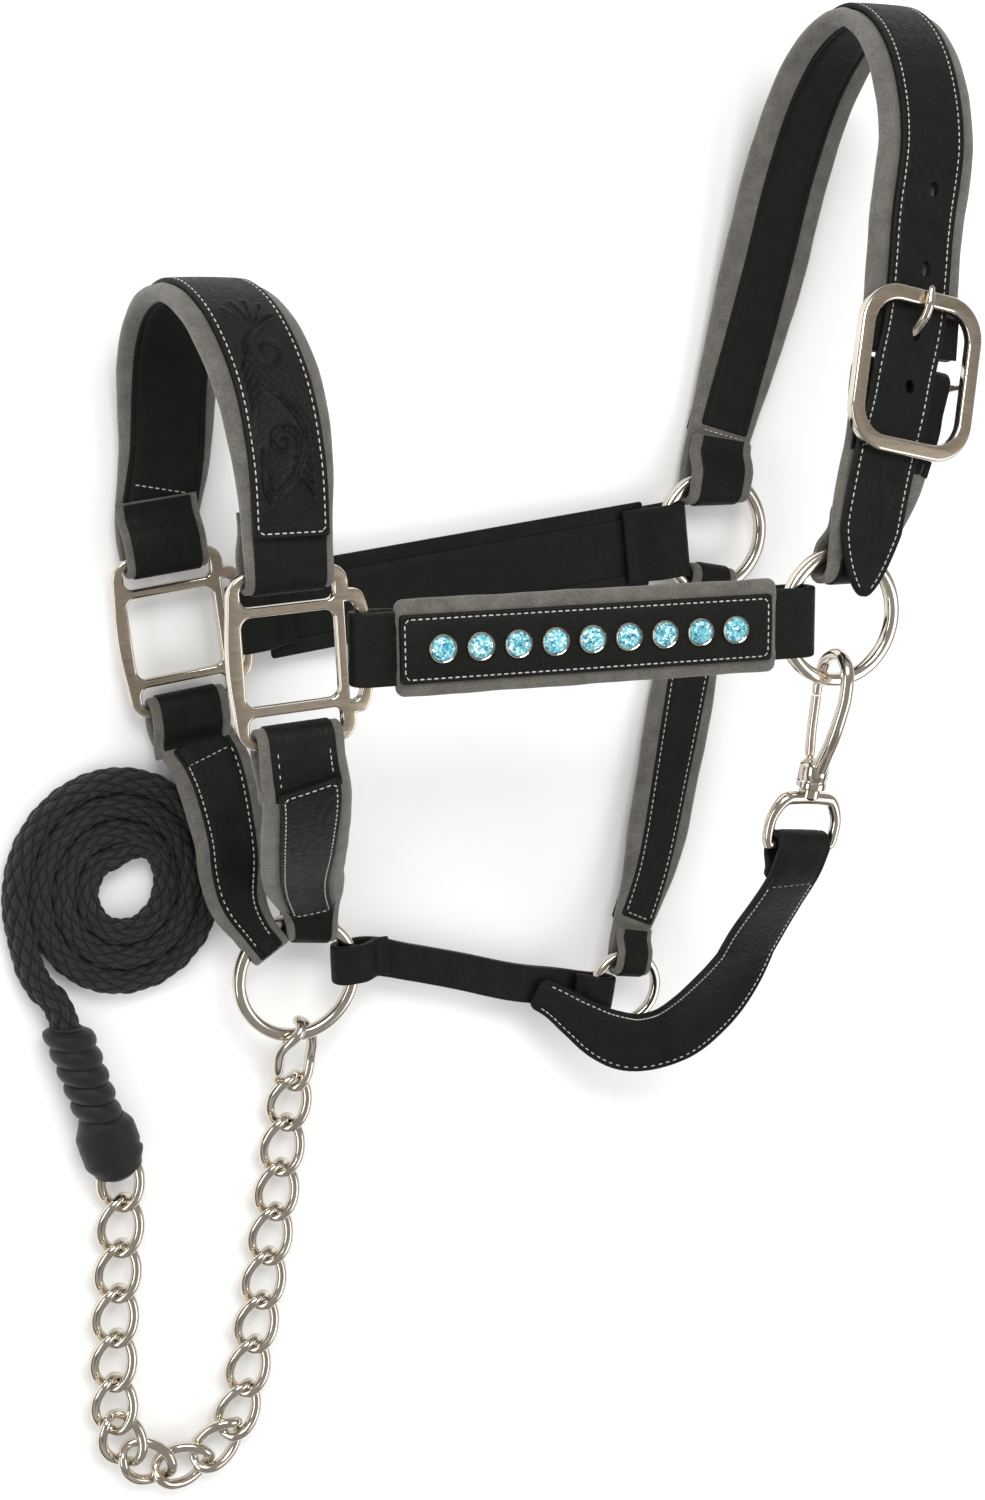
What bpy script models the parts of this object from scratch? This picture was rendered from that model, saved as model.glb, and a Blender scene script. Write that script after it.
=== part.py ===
"""A padded leather headcollar (halter) with a chain lead, lying on its off side.

The nose points to -X, the poll to +Y, and +Z points out of the near side, which carries the
buckle. The off cheek, the chain and the rope lie on the surface at Z = 0. Lengths are in
millimetres and are turned into metres by mm().
"""
import math

import bmesh
import bpy
from mathutils import Matrix, Vector

NAME = "leather_headcollar"

# Driving dimensions, in millimetres.
GAP = 0.3                 # clearance between parts that touch
BODY = 6.0                # thickness of a padded strap
FOLD = 3.0                # thickness of leather where it folds round metal
STRIP = 2.4               # thickness of a top strap
TOP = BODY / 2 + GAP + STRIP / 2   # from the middle of the padding to the middle of its top strap
FLOOR_BAR = 10.8          # height of the off side's hardware
NEAR_SQUARE = Vector((-127, 69, 112))
FAR_SQUARE = Vector((-140, 66, FLOOR_BAR))
NEAR_SQUARE_TURN = 3.0
FAR_SQUARE_TURN = 7.0
SQUARE_PLATE = 4.2        # thickness of a halter square
SQUARE_BAR_Y = 31.0       # from a square's middle to its outer bars
SQUARE_BAR_X = 29.5       # from a square's middle to the bar that the cheek folds round
SQUARE_BAR_R = 3.4        # radius that clears a square's bar
NEAR_RING = Vector((98, 74, 135))
FAR_RING = Vector((113, 96, FLOOR_BAR))
CHIN_RING = Vector((-94, -84, 20))
THROAT_RING = Vector((66, -111, 20))
RING_R = 25.8             # middle of the wire of the large rings
RING_WIRE = 2.8           # radius of their wire
SMALL_RING_R = 16.0
SMALL_RING_WIRE = 2.3
FOLD_EASE = 1.6           # a fold sits this much inside a ring's wire, which slants across it
RING_SLACK = 0.75         # room between a fold and the ring's wire
BUCKLE = Vector((121.5, 170, 139.5))
BUCKLE_BAR_DROP = 8.2     # the buckle's bar below the strap it holds
HOOK_AXIS = Vector((-0.12, -0.985, -0.12)).normalized()   # from the ring to the throat strap
HOOK_COLLAR = Vector((91, 8, 130.5))
EYE_HALF_WIDTH = 16.0
EYE_TOP = 9.5             # from the collar's middle to the top of the eye
EYE_BAR = 29.5            # and to the bar at its lower side
CLIP = Vector((-94, -120.5, 16))
CHAIN_WIRE = 2.0          # radius of the chain's wire
LINK_HALF = 12.6          # middle of a link to the middle of its end's wire
LINK_SIDE = 8.4
CHAIN_LINKS = 17
CHAIN_PITCH = 20.5
BEND_PITCH = 17.5         # where the chain turns back on itself
BENT_LINKS = range(7, 12)
CHAIN_Z = 8.4
ROPE_R = 6.0
COIL = Vector((-165.5, -40, ROPE_R))
COIL_OUT = 45.5           # radius of the rope's last turn
COIL_GROWTH = 10.0        # growth of the spiral in a turn
COIL_STRETCH = (0.97, 1.07)   # the coil is a little longer along Y
COIL_LEAVES = 195.0       # where the rope leaves the coil, in degrees
COIL_SOLID = (8.5, 28.5)  # inner and outer radius of the turned solid

ORIGIN = Vector((-6, 2, 0))   # the middle of the underside, in the coordinates used below

X = Vector((1, 0, 0))
Y = Vector((0, 1, 0))
Z = Vector((0, 0, 1))


def mm(value):
    """Millimetres to metres, for a number or a vector."""
    return value * 0.001


def clear_scene():
    for obj in list(bpy.data.objects):
        bpy.data.objects.remove(obj, do_unlink=True)


def collection(name):
    made = bpy.data.collections.new(name)
    bpy.context.scene.collection.children.link(made)
    return made


def material(name, colour, roughness, metallic=0.0):
    made = bpy.data.materials.new(name)
    made.use_nodes = True
    shader = made.node_tree.nodes["Principled BSDF"]
    shader.inputs["Base Color"].default_value = (*colour, 1)
    shader.inputs["Roughness"].default_value = roughness
    shader.inputs["Metallic"].default_value = metallic
    return made


clear_scene()
PARTS = collection(NAME)
CUTTERS = collection("cutters")
LEATHER = material("black_leather", (0.012, 0.011, 0.010), 0.5)
PADDING = material("grey_padding", (0.19, 0.175, 0.155), 0.8)
METAL = material("brushed_nickel", (0.72, 0.68, 0.62), 0.28, 1.0)
CRYSTAL = material("aqua_crystal", (0.12, 0.62, 0.75), 0.08)
ROPE = material("black_rope", (0.014, 0.014, 0.016), 0.85)


# ---------------------------------------------------------------- objects

def add(name, mesh, finish, where=None):
    obj = bpy.data.objects.new(name, mesh)
    (where or PARTS).objects.link(obj)
    mesh.materials.clear()
    mesh.materials.append(finish)
    return obj


def shade(mesh, angle=40):
    mesh.shade_smooth()
    mesh.set_sharp_from_angle(angle=math.radians(angle))


def finish_bmesh(name, bm):
    bmesh.ops.recalc_face_normals(bm, faces=bm.faces)
    mesh = bpy.data.meshes.new(name)
    bm.to_mesh(mesh)
    bm.free()
    shade(mesh)
    return mesh


def curve_mesh(name, curve):
    """The closed mesh of a curve, which is then removed."""
    holder = bpy.data.objects.new(name, curve)
    PARTS.objects.link(holder)
    shape = holder.evaluated_get(bpy.context.evaluated_depsgraph_get())
    raw = bpy.data.meshes.new_from_object(shape)
    bpy.data.objects.remove(holder, do_unlink=True)
    bpy.data.curves.remove(curve)
    bm = bmesh.new()
    bm.from_mesh(raw)
    bpy.data.meshes.remove(raw)
    bmesh.ops.remove_doubles(bm, verts=bm.verts, dist=1e-6)
    return finish_bmesh(name, bm)


def tube_mesh(name, points, radius, sides=2, cyclic=False):
    """A round wire through the points, as one closed mesh. sides is the bevel resolution."""
    curve = bpy.data.curves.new(name, "CURVE")
    curve.dimensions = "3D"
    curve.bevel_depth = mm(radius)
    curve.bevel_resolution = sides
    curve.use_fill_caps = not cyclic
    spline = curve.splines.new("POLY")
    spline.points.add(len(points) - 1)
    for slot, point in zip(spline.points, points):
        slot.co = (*mm(Vector(point)), 1)
    spline.use_cyclic_u = cyclic
    return curve_mesh(name, curve)


def turned_mesh(name, profile, sides, hollow=False):
    """A shape turned about Z from (radius, height) pairs; a hollow one closes on itself."""
    bm = bmesh.new()
    rings = []
    for radius, height in profile:
        angles = [2 * math.pi * i / sides for i in range(sides)]
        corners = [Vector((radius * math.cos(a), radius * math.sin(a), height)) for a in angles]
        rings.append([bm.verts.new(mm(corner)) for corner in corners])
    for low, high in zip(rings, rings[1:] + rings[:1] if hollow else rings[1:]):
        for j in range(sides):
            bm.faces.new((low[j], low[(j + 1) % sides], high[(j + 1) % sides], high[j]))
    if not hollow:
        bm.faces.new(rings[0])
        bm.faces.new(rings[-1])
    return finish_bmesh(name, bm)


def plate_mesh(name, outline, holes, thickness):
    """A flat plate in XY with holes through it, its middle plane at Z = 0."""
    curve = bpy.data.curves.new(name, "CURVE")
    curve.dimensions = "2D"
    curve.fill_mode = "BOTH"
    curve.extrude = mm(thickness / 2)
    for loop in [outline, *holes]:
        spline = curve.splines.new("POLY")
        spline.points.add(len(loop) - 1)
        for slot, (x, y) in zip(spline.points, loop):
            slot.co = (mm(x), mm(y), 0, 1)
        spline.use_cyclic_u = True
    return curve_mesh(name, curve)


def boolean(obj, other, operation):
    """Cut or join a mesh with another one, which is kept among the cutters."""
    other.hide_render = True
    other.display_type = "WIRE"
    change = obj.modifiers.new(operation.lower(), "BOOLEAN")
    change.operation = operation
    change.object = other


def rounded_rectangle(low, high, radius, steps=3):
    """The corners of a rectangle in XY, each turned by an arc."""
    (x0, y0), (x1, y1) = low, high
    centres = [(x1 - radius, y1 - radius, 0), (x0 + radius, y1 - radius, 90),
               (x0 + radius, y0 + radius, 180), (x1 - radius, y0 + radius, 270)]
    points = []
    for cx, cy, start in centres:
        for step in range(steps + 1):
            angle = math.radians(start + 90 * step / steps)
            points.append((cx + radius * math.cos(angle), cy + radius * math.sin(angle)))
    return points


# ---------------------------------------------------------------- routes

def smooth(points, step):
    """Points about a step apart on a centripetal Catmull-Rom curve through the given points."""
    points = [Vector(p) for p in points]
    ends = [2 * points[0] - points[1], *points, 2 * points[-1] - points[-2]]
    out = []
    for p0, p1, p2, p3 in zip(ends, ends[1:], ends[2:], ends[3:]):
        t0 = 0.0
        t1 = t0 + math.sqrt((p1 - p0).length)
        t2 = t1 + math.sqrt((p2 - p1).length)
        t3 = t2 + math.sqrt((p3 - p2).length)
        count = max(1, round((p2 - p1).length / step))
        for i in range(count):
            t = t1 + (t2 - t1) * i / count
            a1 = p0 * ((t1 - t) / (t1 - t0)) + p1 * ((t - t0) / (t1 - t0))
            a2 = p1 * ((t2 - t) / (t2 - t1)) + p2 * ((t - t1) / (t2 - t1))
            a3 = p2 * ((t3 - t) / (t3 - t2)) + p3 * ((t - t2) / (t3 - t2))
            b1 = a1 * ((t2 - t) / (t2 - t0)) + a2 * ((t - t0) / (t2 - t0))
            b2 = a2 * ((t3 - t) / (t3 - t1)) + a3 * ((t - t1) / (t3 - t1))
            out.append(b1 * ((t2 - t) / (t2 - t1)) + b2 * ((t - t1) / (t2 - t1)))
    out.append(points[-1])
    return out


def lengths(points):
    """The distance along a line of points up to each of them."""
    total = [0.0]
    for a, b in zip(points, points[1:]):
        total.append(total[-1] + (b - a).length)
    return total


def at_length(points, distance):
    """The point and the direction at a distance along a line of points."""
    total = lengths(points)
    for i in range(len(points) - 1):
        if total[i + 1] >= distance or i == len(points) - 2:
            part = (distance - total[i]) / (total[i + 1] - total[i])
            return points[i].lerp(points[i + 1], part), (points[i + 1] - points[i]).normalized()


def fold(bar, leave, face, radius, tail, body=BODY):
    """Leather folded round a bar: the end of its tail first, then round to the main run.

    leave points along the strap away from the bar, and face points to the side of the main run.
    """
    close = radius - body / 2 - GAP - 0.3 - FOLD / 2
    points = [bar + leave * tail + face * close,
              bar + leave * (tail * 0.72) + face * close,
              bar + leave * (tail * 0.36) - face * radius,
              bar - face * radius]
    for step in range(1, 6):
        angle = math.pi * step / 6
        points.append(bar - face * (radius * math.cos(angle)) - leave * (radius * math.sin(angle)))
    points.append(bar + face * radius)
    return points


def strap(name, run, across, finish, sizes, start=None, end=None, lift=0.0, step=6.0):
    """A strap lofted along its run.

    run is the list of points of the main run, start and end are folded ends, across lists the
    width directions that are spread evenly over the run, lift moves the strap off the run towards
    its face, and sizes are (place from 0 to 1 along the main run, width, thickness).
    """
    middle = smooth(run, step)
    if lift:
        middle = lifted(middle, across, lift)
    points = list(start or []) + middle + list(reversed(end or []))
    first, last = len(start or []), len(points) - len(end or [])
    total = lengths(middle)
    bm = bmesh.new()
    rings = []
    for i, point in enumerate(points):
        inside = min(max(i - first, 0), last - first - 1)
        place = total[inside] / total[-1]
        width, thick = blend_sizes(sizes, place)
        if i < first - 1 or i >= last + 1:
            thick = FOLD
            width = sizes[0][1] if i < first else sizes[-1][1]
        side = blend_across(across, place)
        before, after = points[max(i - 1, 0)], points[min(i + 1, len(points) - 1)]
        tangent = (after - before).normalized()
        side = (side - tangent * side.dot(tangent)).normalized()
        normal = side.cross(tangent)
        half, deep = side * (width / 2), normal * (thick / 2)
        ring = [point - half - deep, point + half - deep, point + half + deep, point - half + deep]
        rings.append([bm.verts.new(mm(corner)) for corner in ring])
    for a, b in zip(rings, rings[1:]):
        for j in range(4):
            bm.faces.new((a[j], a[(j + 1) % 4], b[(j + 1) % 4], b[j]))
    bm.faces.new(rings[0])
    bm.faces.new(rings[-1])
    return add(name, finish_bmesh(name, bm), finish)


def blend_sizes(sizes, place):
    for (p0, w0, t0), (p1, w1, t1) in zip(sizes, sizes[1:]):
        if place <= p1:
            part = (place - p0) / (p1 - p0) if p1 > p0 else 1.0
            return w0 + (w1 - w0) * part, t0 + (t1 - t0) * part
    return sizes[-1][1:]


def blend_across(across, place):
    if len(across) == 1:
        return across[0].copy()
    spot = min(place, 0.9999) * (len(across) - 1)
    i = int(spot)
    return across[i].lerp(across[i + 1], spot - i)


def lifted(points, across, lift):
    """The line of points moved off its strap's middle, towards its face."""
    total = lengths(points)
    out = []
    for i, point in enumerate(points):
        side = blend_across(across, total[i] / total[-1])
        tangent = (points[min(i + 1, len(points) - 1)] - points[max(i - 1, 0)]).normalized()
        side = (side - tangent * side.dot(tangent)).normalized()
        out.append(point + side.cross(tangent) * lift)
    return out


def top_strip(name, run, across, trim, widths, lift):
    """The thin strap sewn on a padded one, without its folded ends."""
    middle = smooth(run, 6)
    total = lengths(middle)
    raised = lifted(middle, across, lift)
    chosen = range(trim[0], len(middle) - trim[1])
    sides = [blend_across(across, total[i] / total[-1]) for i in chosen]
    sizes = [(0, widths[0], STRIP), (1, widths[1], STRIP)]
    return strap(name, [raised[i] for i in chosen], sides, LEATHER, sizes)


def turned(vector, degrees):
    return Matrix.Rotation(math.radians(degrees), 3, "Z") @ vector


def ring_point(centre, degrees, radius):
    return centre + turned(X, degrees) * radius


def fold_point(centre, degrees, radius, width):
    """Where the fold of a strap of this width sits on a round ring, whose wire curves inwards."""
    return ring_point(centre, degrees, math.sqrt(radius ** 2 - (width / 2) ** 2) - FOLD_EASE)


# ---------------------------------------------------------------- metal pieces

def square(name, centre, turn):
    """A halter square: two slots, a square opening and a loop for the cheek strap."""
    outline = rounded_rectangle((-23.5, -SQUARE_BAR_Y - 2.2), (23.5, SQUARE_BAR_Y + 2.2), 8)
    side_loop = rounded_rectangle((23.5, -23.5), (SQUARE_BAR_X + 2.2, 23.5), 5)
    right = [p for p in outline if p[0] > 0 and p[1] > 0]
    left = [p for p in outline if p[0] < 0]
    right_low = [p for p in outline if p[0] > 0 and p[1] < 0]
    outer_side = [p for p in side_loop if p[0] > 24.5]
    upper = [p for p in outer_side if p[1] > 0]
    lower = [p for p in outer_side if p[1] < 0]
    outline = [(23.5, 23.5), *right, *left, *right_low, (23.5, -23.5), *lower, *upper]
    holes = [rounded_rectangle((-18.5, 20.5), (18.5, SQUARE_BAR_Y - 2.2), 2, 2),
             rounded_rectangle((-17.5, -16.5), (17.5, 16.5), 3, 2),
             rounded_rectangle((-18.5, 2.2 - SQUARE_BAR_Y), (18.5, -20.5), 2, 2),
             rounded_rectangle((21.5, -18.5), (SQUARE_BAR_X - 2.2, 18.5), 2, 2)]
    mesh = plate_mesh(name, outline, holes, SQUARE_PLATE)
    obj = add(name, mesh, METAL)
    obj.matrix_world = Matrix.Translation(mm(centre)) @ Matrix.Rotation(math.radians(turn), 4, "Z")
    return obj


def ring(name, centre, radius, wire, steps=28):
    angles = [2 * math.pi * i / steps for i in range(steps)]
    points = [(radius * math.cos(a), radius * math.sin(a), 0) for a in angles]
    obj = add(name, tube_mesh(name, points, wire, 2, cyclic=True), METAL)
    obj.matrix_world = Matrix.Translation(mm(centre))
    return obj


def link_points(half, side, middle_turn, half_turn, count=16):
    """The middle line of an oval link along X, twisted about its length as in a curb chain."""
    points = []
    for i in range(count):
        angle = 2 * math.pi * i / count
        along = half * math.cos(angle)
        out = side * math.sin(angle)
        twist = math.radians(middle_turn + half_turn * along / half)
        points.append((along, out * math.cos(twist), out * math.sin(twist)))
    return points


def link(name, centre, direction, half, side, wire, middle_turn=0.0, half_turn=45.0, rise=0.0):
    """A link whose length lies along direction; rise tips its far end up, in degrees."""
    points = link_points(half, side, middle_turn, half_turn)
    obj = add(name, tube_mesh(name, points, wire, 1, cyclic=True), METAL)
    turn = Matrix.Rotation(math.atan2(direction.y, direction.x), 4, "Z")
    tip = Matrix.Rotation(math.radians(-rise), 4, "Y")
    obj.matrix_world = Matrix.Translation(mm(centre)) @ turn @ tip
    return obj


def set_origin(obj, point):
    """Put an object's origin on its joint's axis, leaving its shape where it is."""
    local = obj.matrix_world.inverted() @ mm(point)
    obj.data.transform(Matrix.Translation(-local))
    obj.matrix_world = obj.matrix_world @ Matrix.Translation(local)


def buckle_frame_axes():
    """Across, along and outwards at the buckle, as the columns of a matrix."""
    along = Vector((0.20, 0.97, -0.13)).normalized()
    across = (X - along * X.dot(along)).normalized()
    return across, along, across.cross(along)


def in_buckle(across_mm, along_mm, out_mm):
    across, along, out = buckle_frame_axes()
    return BUCKLE + across * across_mm + along * along_mm + out * out_mm


def buckle():
    """A rounded frame in front of the strap, with a bar behind it."""
    across, along, out = buckle_frame_axes()
    outline = rounded_rectangle((-26, -33), (32, 33), 17, 5)
    hole = rounded_rectangle((-19.5, -26.5), (25.5, 26.5), 11, 4)
    frame = add("buckle_frame", plate_mesh("buckle_frame", outline, [hole], 4.0), METAL)
    place = Matrix((across, along, out)).transposed().to_4x4()
    place.translation = mm(in_buckle(0, 0, 4.2))
    frame.matrix_world = place
    high, low, turn_in = 4.2, -BUCKLE_BAR_DROP, 2.0
    route = [in_buckle(-22.8, 0, high), in_buckle(-22.8, 0, low + turn_in),
             in_buckle(-22.8 + turn_in, 0, low), in_buckle(28.8 - turn_in, 0, low),
             in_buckle(28.8, 0, low + turn_in), in_buckle(28.8, 0, high)]
    bar = add("buckle_bar_join", tube_mesh("buckle_bar_join", route, 1.9, 2), METAL, CUTTERS)
    boolean(frame, bar, "UNION")


def prong():
    """The buckle's tongue: round the bar, behind the strap, through its hole and over the frame."""
    reach = 1.9 + GAP + 1.7
    route = []
    for step in range(9):
        angle = math.radians(-200 + 290 * step / 8)
        drop = BUCKLE_BAR_DROP - reach * math.sin(angle)
        route.append(in_buckle(3, reach * math.cos(angle), -drop))
    route += [in_buckle(3, 8, -4.2), in_buckle(3, 13, -3.4), in_buckle(3, 17.5, 0.4),
              in_buckle(3, 23, 6.4), in_buckle(3, 27, 8.3), in_buckle(3, 33.5, 8.3)]
    tongue = add("buckle_prong", tube_mesh("buckle_prong", route, 1.7, 2), METAL)
    set_origin(tongue, in_buckle(3, 0, -BUCKLE_BAR_DROP))


def hook_axes():
    """Across the hook, towards its back, and down its length."""
    back = (Z - HOOK_AXIS * Z.dot(HOOK_AXIS)).normalized()
    return back.cross(HOOK_AXIS).normalized(), back, HOOK_AXIS


def in_hook(back_mm, down_mm, side_mm=0.0):
    side, back, down = hook_axes()
    return HOOK_COLLAR + back * back_mm + down * down_mm + side * side_mm


def cylinder(name, start, end, radius, finish, where=None):
    half = (end - start).length / 2
    obj = add(name, turned_mesh(name, [(radius, -half), (radius, half)], 16), finish, where)
    turn = Z.rotation_difference((end - start).normalized()).to_matrix().to_4x4()
    obj.matrix_world = Matrix.Translation(mm((start + end) / 2)) @ turn
    return obj


def snap_hook():
    """The snap's body: a collar and a hook over the near ring, its gate and its swivel eye."""
    collar = cylinder("snap_hook", in_hook(0, -5), in_hook(0, 5), 6.3, METAL)
    run = smooth([in_hook(3.4, -3), in_hook(6.0, -12), in_hook(9.6, -26), in_hook(10.8, -37),
                  in_hook(7.8, -47.5), in_hook(0.5, -51.5), in_hook(-6.8, -47.5),
                  in_hook(-9.4, -39), in_hook(-9.0, -33.5)], 4.0)
    body = add("snap_body_join", tube_mesh("snap_body_join", run, 2.3, 2), METAL, CUTTERS)
    boolean(collar, body, "UNION")
    gate = [in_hook(-5.2, -8.0), in_hook(-6.9, -16), in_hook(-8.8, -30.4)]
    set_origin(add("snap_gate", tube_mesh("snap_gate", gate, 2.1, 2), METAL), gate[0])
    eye = add("snap_eye", tube_mesh("snap_eye", eye_points(), 2.3, 2, cyclic=True), METAL)
    set_origin(eye, in_hook(0, EYE_BAR))
    boss = cylinder("snap_boss_join", in_hook(0, 5.3), in_hook(0, 9.5), 4.2, METAL, CUTTERS)
    boolean(eye, boss, "UNION")


def eye_points():
    """The eye is a rounded loop whose lower side is a straight bar."""
    side, _, _ = hook_axes()
    shape = [(-EYE_HALF_WIDTH + 1, EYE_BAR), (EYE_HALF_WIDTH - 1, EYE_BAR),
             (EYE_HALF_WIDTH, EYE_BAR - 4), (EYE_HALF_WIDTH - 0.5, EYE_BAR - 12),
             (EYE_HALF_WIDTH - 5, EYE_TOP + 1), (5, EYE_TOP), (-5, EYE_TOP),
             (-EYE_HALF_WIDTH + 5, EYE_TOP + 1), (-EYE_HALF_WIDTH + 0.5, EYE_BAR - 12),
             (-EYE_HALF_WIDTH, EYE_BAR - 4)]
    return [in_hook(0, down, across) for across, down in shape]


# ---------------------------------------------------------------- straps

def noseband():
    """The arch over the nose, from the near square to the off square."""
    near_leave, far_leave = turned(Y, NEAR_SQUARE_TURN), turned(Y, FAR_SQUARE_TURN)
    radius = SQUARE_BAR_R + FOLD / 2
    near_bar = NEAR_SQUARE + near_leave * SQUARE_BAR_Y
    far_bar = FAR_SQUARE + far_leave * SQUARE_BAR_Y
    near_across, far_across = turned(X, NEAR_SQUARE_TURN), turned(X, FAR_SQUARE_TURN)
    run = [near_bar + Z * radius, near_bar + Z * radius + near_leave * 12, (-129.5, 140, 114.5),
           (-131.5, 167, 106.5), (-135, 188, 90), (-138, 198.5, 71), (-140, 200.5, 54),
           (-141, 195.5, 36), (-141, 182, 20), (-140.5, 163, 10.5), (-141, 138, 6.6),
           far_bar - Z * radius + far_leave * 12, far_bar - Z * radius]
    across = [near_across, X, X, far_across]
    start = fold(near_bar, near_leave, Z, radius, 24)[:-1]
    end = fold(far_bar, far_leave, -Z, radius, 24)[:-1]
    sizes = [(0, 33, FOLD), (0.035, 34, 4.5), (0.07, 42, BODY), (0.93, 42, BODY),
             (0.965, 34, 4.5), (1, 33, FOLD)]
    strap("noseband_padding", run, across, PADDING, sizes, start, end)
    top_strip("noseband_strap", run, across, (4, 4), (29, 29), TOP)


def cheek(side, bar, ring_at, ring_angle, face, bar_slack, ring_slack):
    """The padding from a square's side bar to a ring: its run's two ends, direction and width axis.

    The slacks are the room between its folds and the metal that they hold.
    """
    chape = 28.0
    end_bar = fold_point(ring_at, ring_angle, RING_R, chape)
    leave = (end_bar - bar).normalized()
    face = (face - leave * face.dot(leave)).normalized()
    bar_radius = SQUARE_BAR_R + bar_slack + FOLD / 2
    end_radius = RING_WIRE + ring_slack + FOLD / 2
    start = fold(bar, leave, face, bar_radius, 22)[:-1]
    end = fold(end_bar, -leave, face, end_radius, 25)[:-1]
    a, b = bar + face * bar_radius, end_bar + face * end_radius
    run = [a, a + leave * 5, a.lerp(b, 0.35), a.lerp(b, 0.65), b - leave * 11, b]
    across = [(face.cross(leave) * -1).normalized()]
    sizes = [(0, chape, FOLD), (0.04, chape, 3.2), (0.055, 37, BODY), (0.93, 37, BODY),
             (0.945, chape, 4.5), (1, chape, FOLD)]
    strap(f"{side}_cheek_padding", run, across, PADDING, sizes, start, end)
    return a, b, leave, across


def cheeks():
    near_bar = NEAR_SQUARE + turned(X, NEAR_SQUARE_TURN) * SQUARE_BAR_X
    a, b, leave, across = cheek("near", near_bar, NEAR_RING, 180 + 2, Z, GAP, 1.4)
    start, end = a.lerp(b, 0.06), a.lerp(b, 0.91)
    out = across[0].cross(leave)
    top = [start, a.lerp(b, 0.5), end]
    flat = [(0, 26, STRIP), (1, 26, STRIP)]
    strap("near_cheek_strap", top, across, LEATHER, flat, lift=TOP)
    for i in range(9):
        place = start.lerp(end, 0.107 + i * 0.0985)
        crystal(f"crystal_{i + 1}", place + out * (TOP + STRIP / 2 + GAP), out)
    far_bar = FAR_SQUARE + turned(X, FAR_SQUARE_TURN) * SQUARE_BAR_X
    a, b, leave, across = cheek("far", far_bar, FAR_RING, 180 + 7, -Z, 0.0, RING_SLACK)
    top = [a.lerp(b, 0.06), a.lerp(b, 0.5), a.lerp(b, 0.91)]
    strap("far_cheek_strap", top, across, LEATHER, flat, lift=TOP)


def crystal(name, base, out):
    """A round crystal in a low metal cup, made as one turned shape."""
    profile = [(5.4, 0), (5.4, 1.2), (4.6, 1.5), (3.2, 2.5)]
    obj = add(name, turned_mesh(name, profile, 12), CRYSTAL)
    obj.matrix_world = Matrix.Translation(mm(base)) @ Z.rotation_difference(out).to_matrix().to_4x4()


def crown():
    """The buckle chape on the near ring, and the crown strap from the off ring over the poll."""
    across, along, out = buckle_frame_axes()
    bar = in_buckle(1, 0, -BUCKLE_BAR_DROP)
    bar_radius = 1.9 + GAP + FOLD / 2
    ring_radius = RING_WIRE + RING_SLACK + FOLD / 2
    ring_bar = fold_point(NEAR_RING, 80, RING_R, 27)
    ring_leave = Vector((0.19, 0.975, 0.03)).normalized()
    low = fold(ring_bar, ring_leave, Z, ring_radius + GAP, 22)[:-1]
    high = fold(bar, -along, out, bar_radius, 24)[:-1]
    run = [ring_bar + Z * (ring_radius + GAP), ring_bar + Z * (ring_radius + GAP) + ring_leave * 14,
           in_buckle(-0.5, -36, -5.4), in_buckle(0.5, -14, -5.4), bar + out * bar_radius]
    sizes = [(0, 27, FOLD), (0.10, 29, 4.5), (0.2, 40, BODY), (0.78, 36, BODY - 0.6),
             (0.9, 27, 3.4), (1, 27, FOLD)]
    chape = strap("buckle_chape", run, [X, across], PADDING, sizes, low, high)
    slot_at = in_buckle(3, 2.2, 1 - BUCKLE_BAR_DROP)
    slot = box("chape_slot", slot_at, (4.6, 15.6, 18), (across, along, out))
    boolean(chape, slot, "DIFFERENCE")

    far_bar = fold_point(FAR_RING, 87, RING_R, 31)
    far_leave = Vector((0.17, 0.985, 0)).normalized()
    end = fold(far_bar, far_leave, -Z, ring_radius, 24)[:-1]
    arch = [in_buckle(3, 25, 0) - out * 4.7, (134, 226.75, 127.5), (143.5, 262, 119),
            (149.5, 293, 101), (152.5, 309.5, 81), (153.5, 314, 63), (152, 306, 45),
            (149.5, 287, 29), (145.5, 255, 16), (139, 215, 9.2), (131.5, 183, 6.7),
            far_bar - Z * ring_radius + far_leave * 14, far_bar - Z * ring_radius]
    sizes = [(0, 44, BODY), (0.93, 44, BODY), (0.965, 35, 4.5), (1, 31, FOLD)]
    strap("crown_padding", arch, [X], PADDING, sizes, None, end)
    billet = [Vector((101.5, 83, 146.0)), Vector((104.5, 108, 145.6)), in_buckle(-3.5, -36, 0),
              in_buckle(-0.5, -14, 0), in_buckle(0.5, 0, 0), in_buckle(2.5, 22, 0)]
    rest = lifted(smooth(arch, 6)[3:-5], [X], TOP)
    line = billet + rest[::2]
    sizes = [(0, 9, STRIP), (0.012, 20, STRIP), (0.035, 29, STRIP), (1, 29, STRIP)]
    billet_strap = strap("crown_strap", line, [X], LEATHER, sizes, step=7)
    for i, (at, long) in enumerate([(19.5, 15), (-5, 4.6)]):
        cut = box(f"billet_hole_{i}", in_buckle(3, at, 0), (4.6, long, 8), (across, along, out))
        boolean(billet_strap, cut, "DIFFERENCE")


def box(name, centre, size, axes):
    """A guide block used to cut a slot."""
    bm = bmesh.new()
    bmesh.ops.create_cube(bm, size=1.0)
    bmesh.ops.scale(bm, vec=mm(Vector(size)), verts=bm.verts)
    obj = add(name, finish_bmesh(name, bm), METAL, CUTTERS)
    place = Matrix(axes).transposed().to_4x4()
    place.translation = mm(centre)
    obj.matrix_world = place
    return obj


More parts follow.
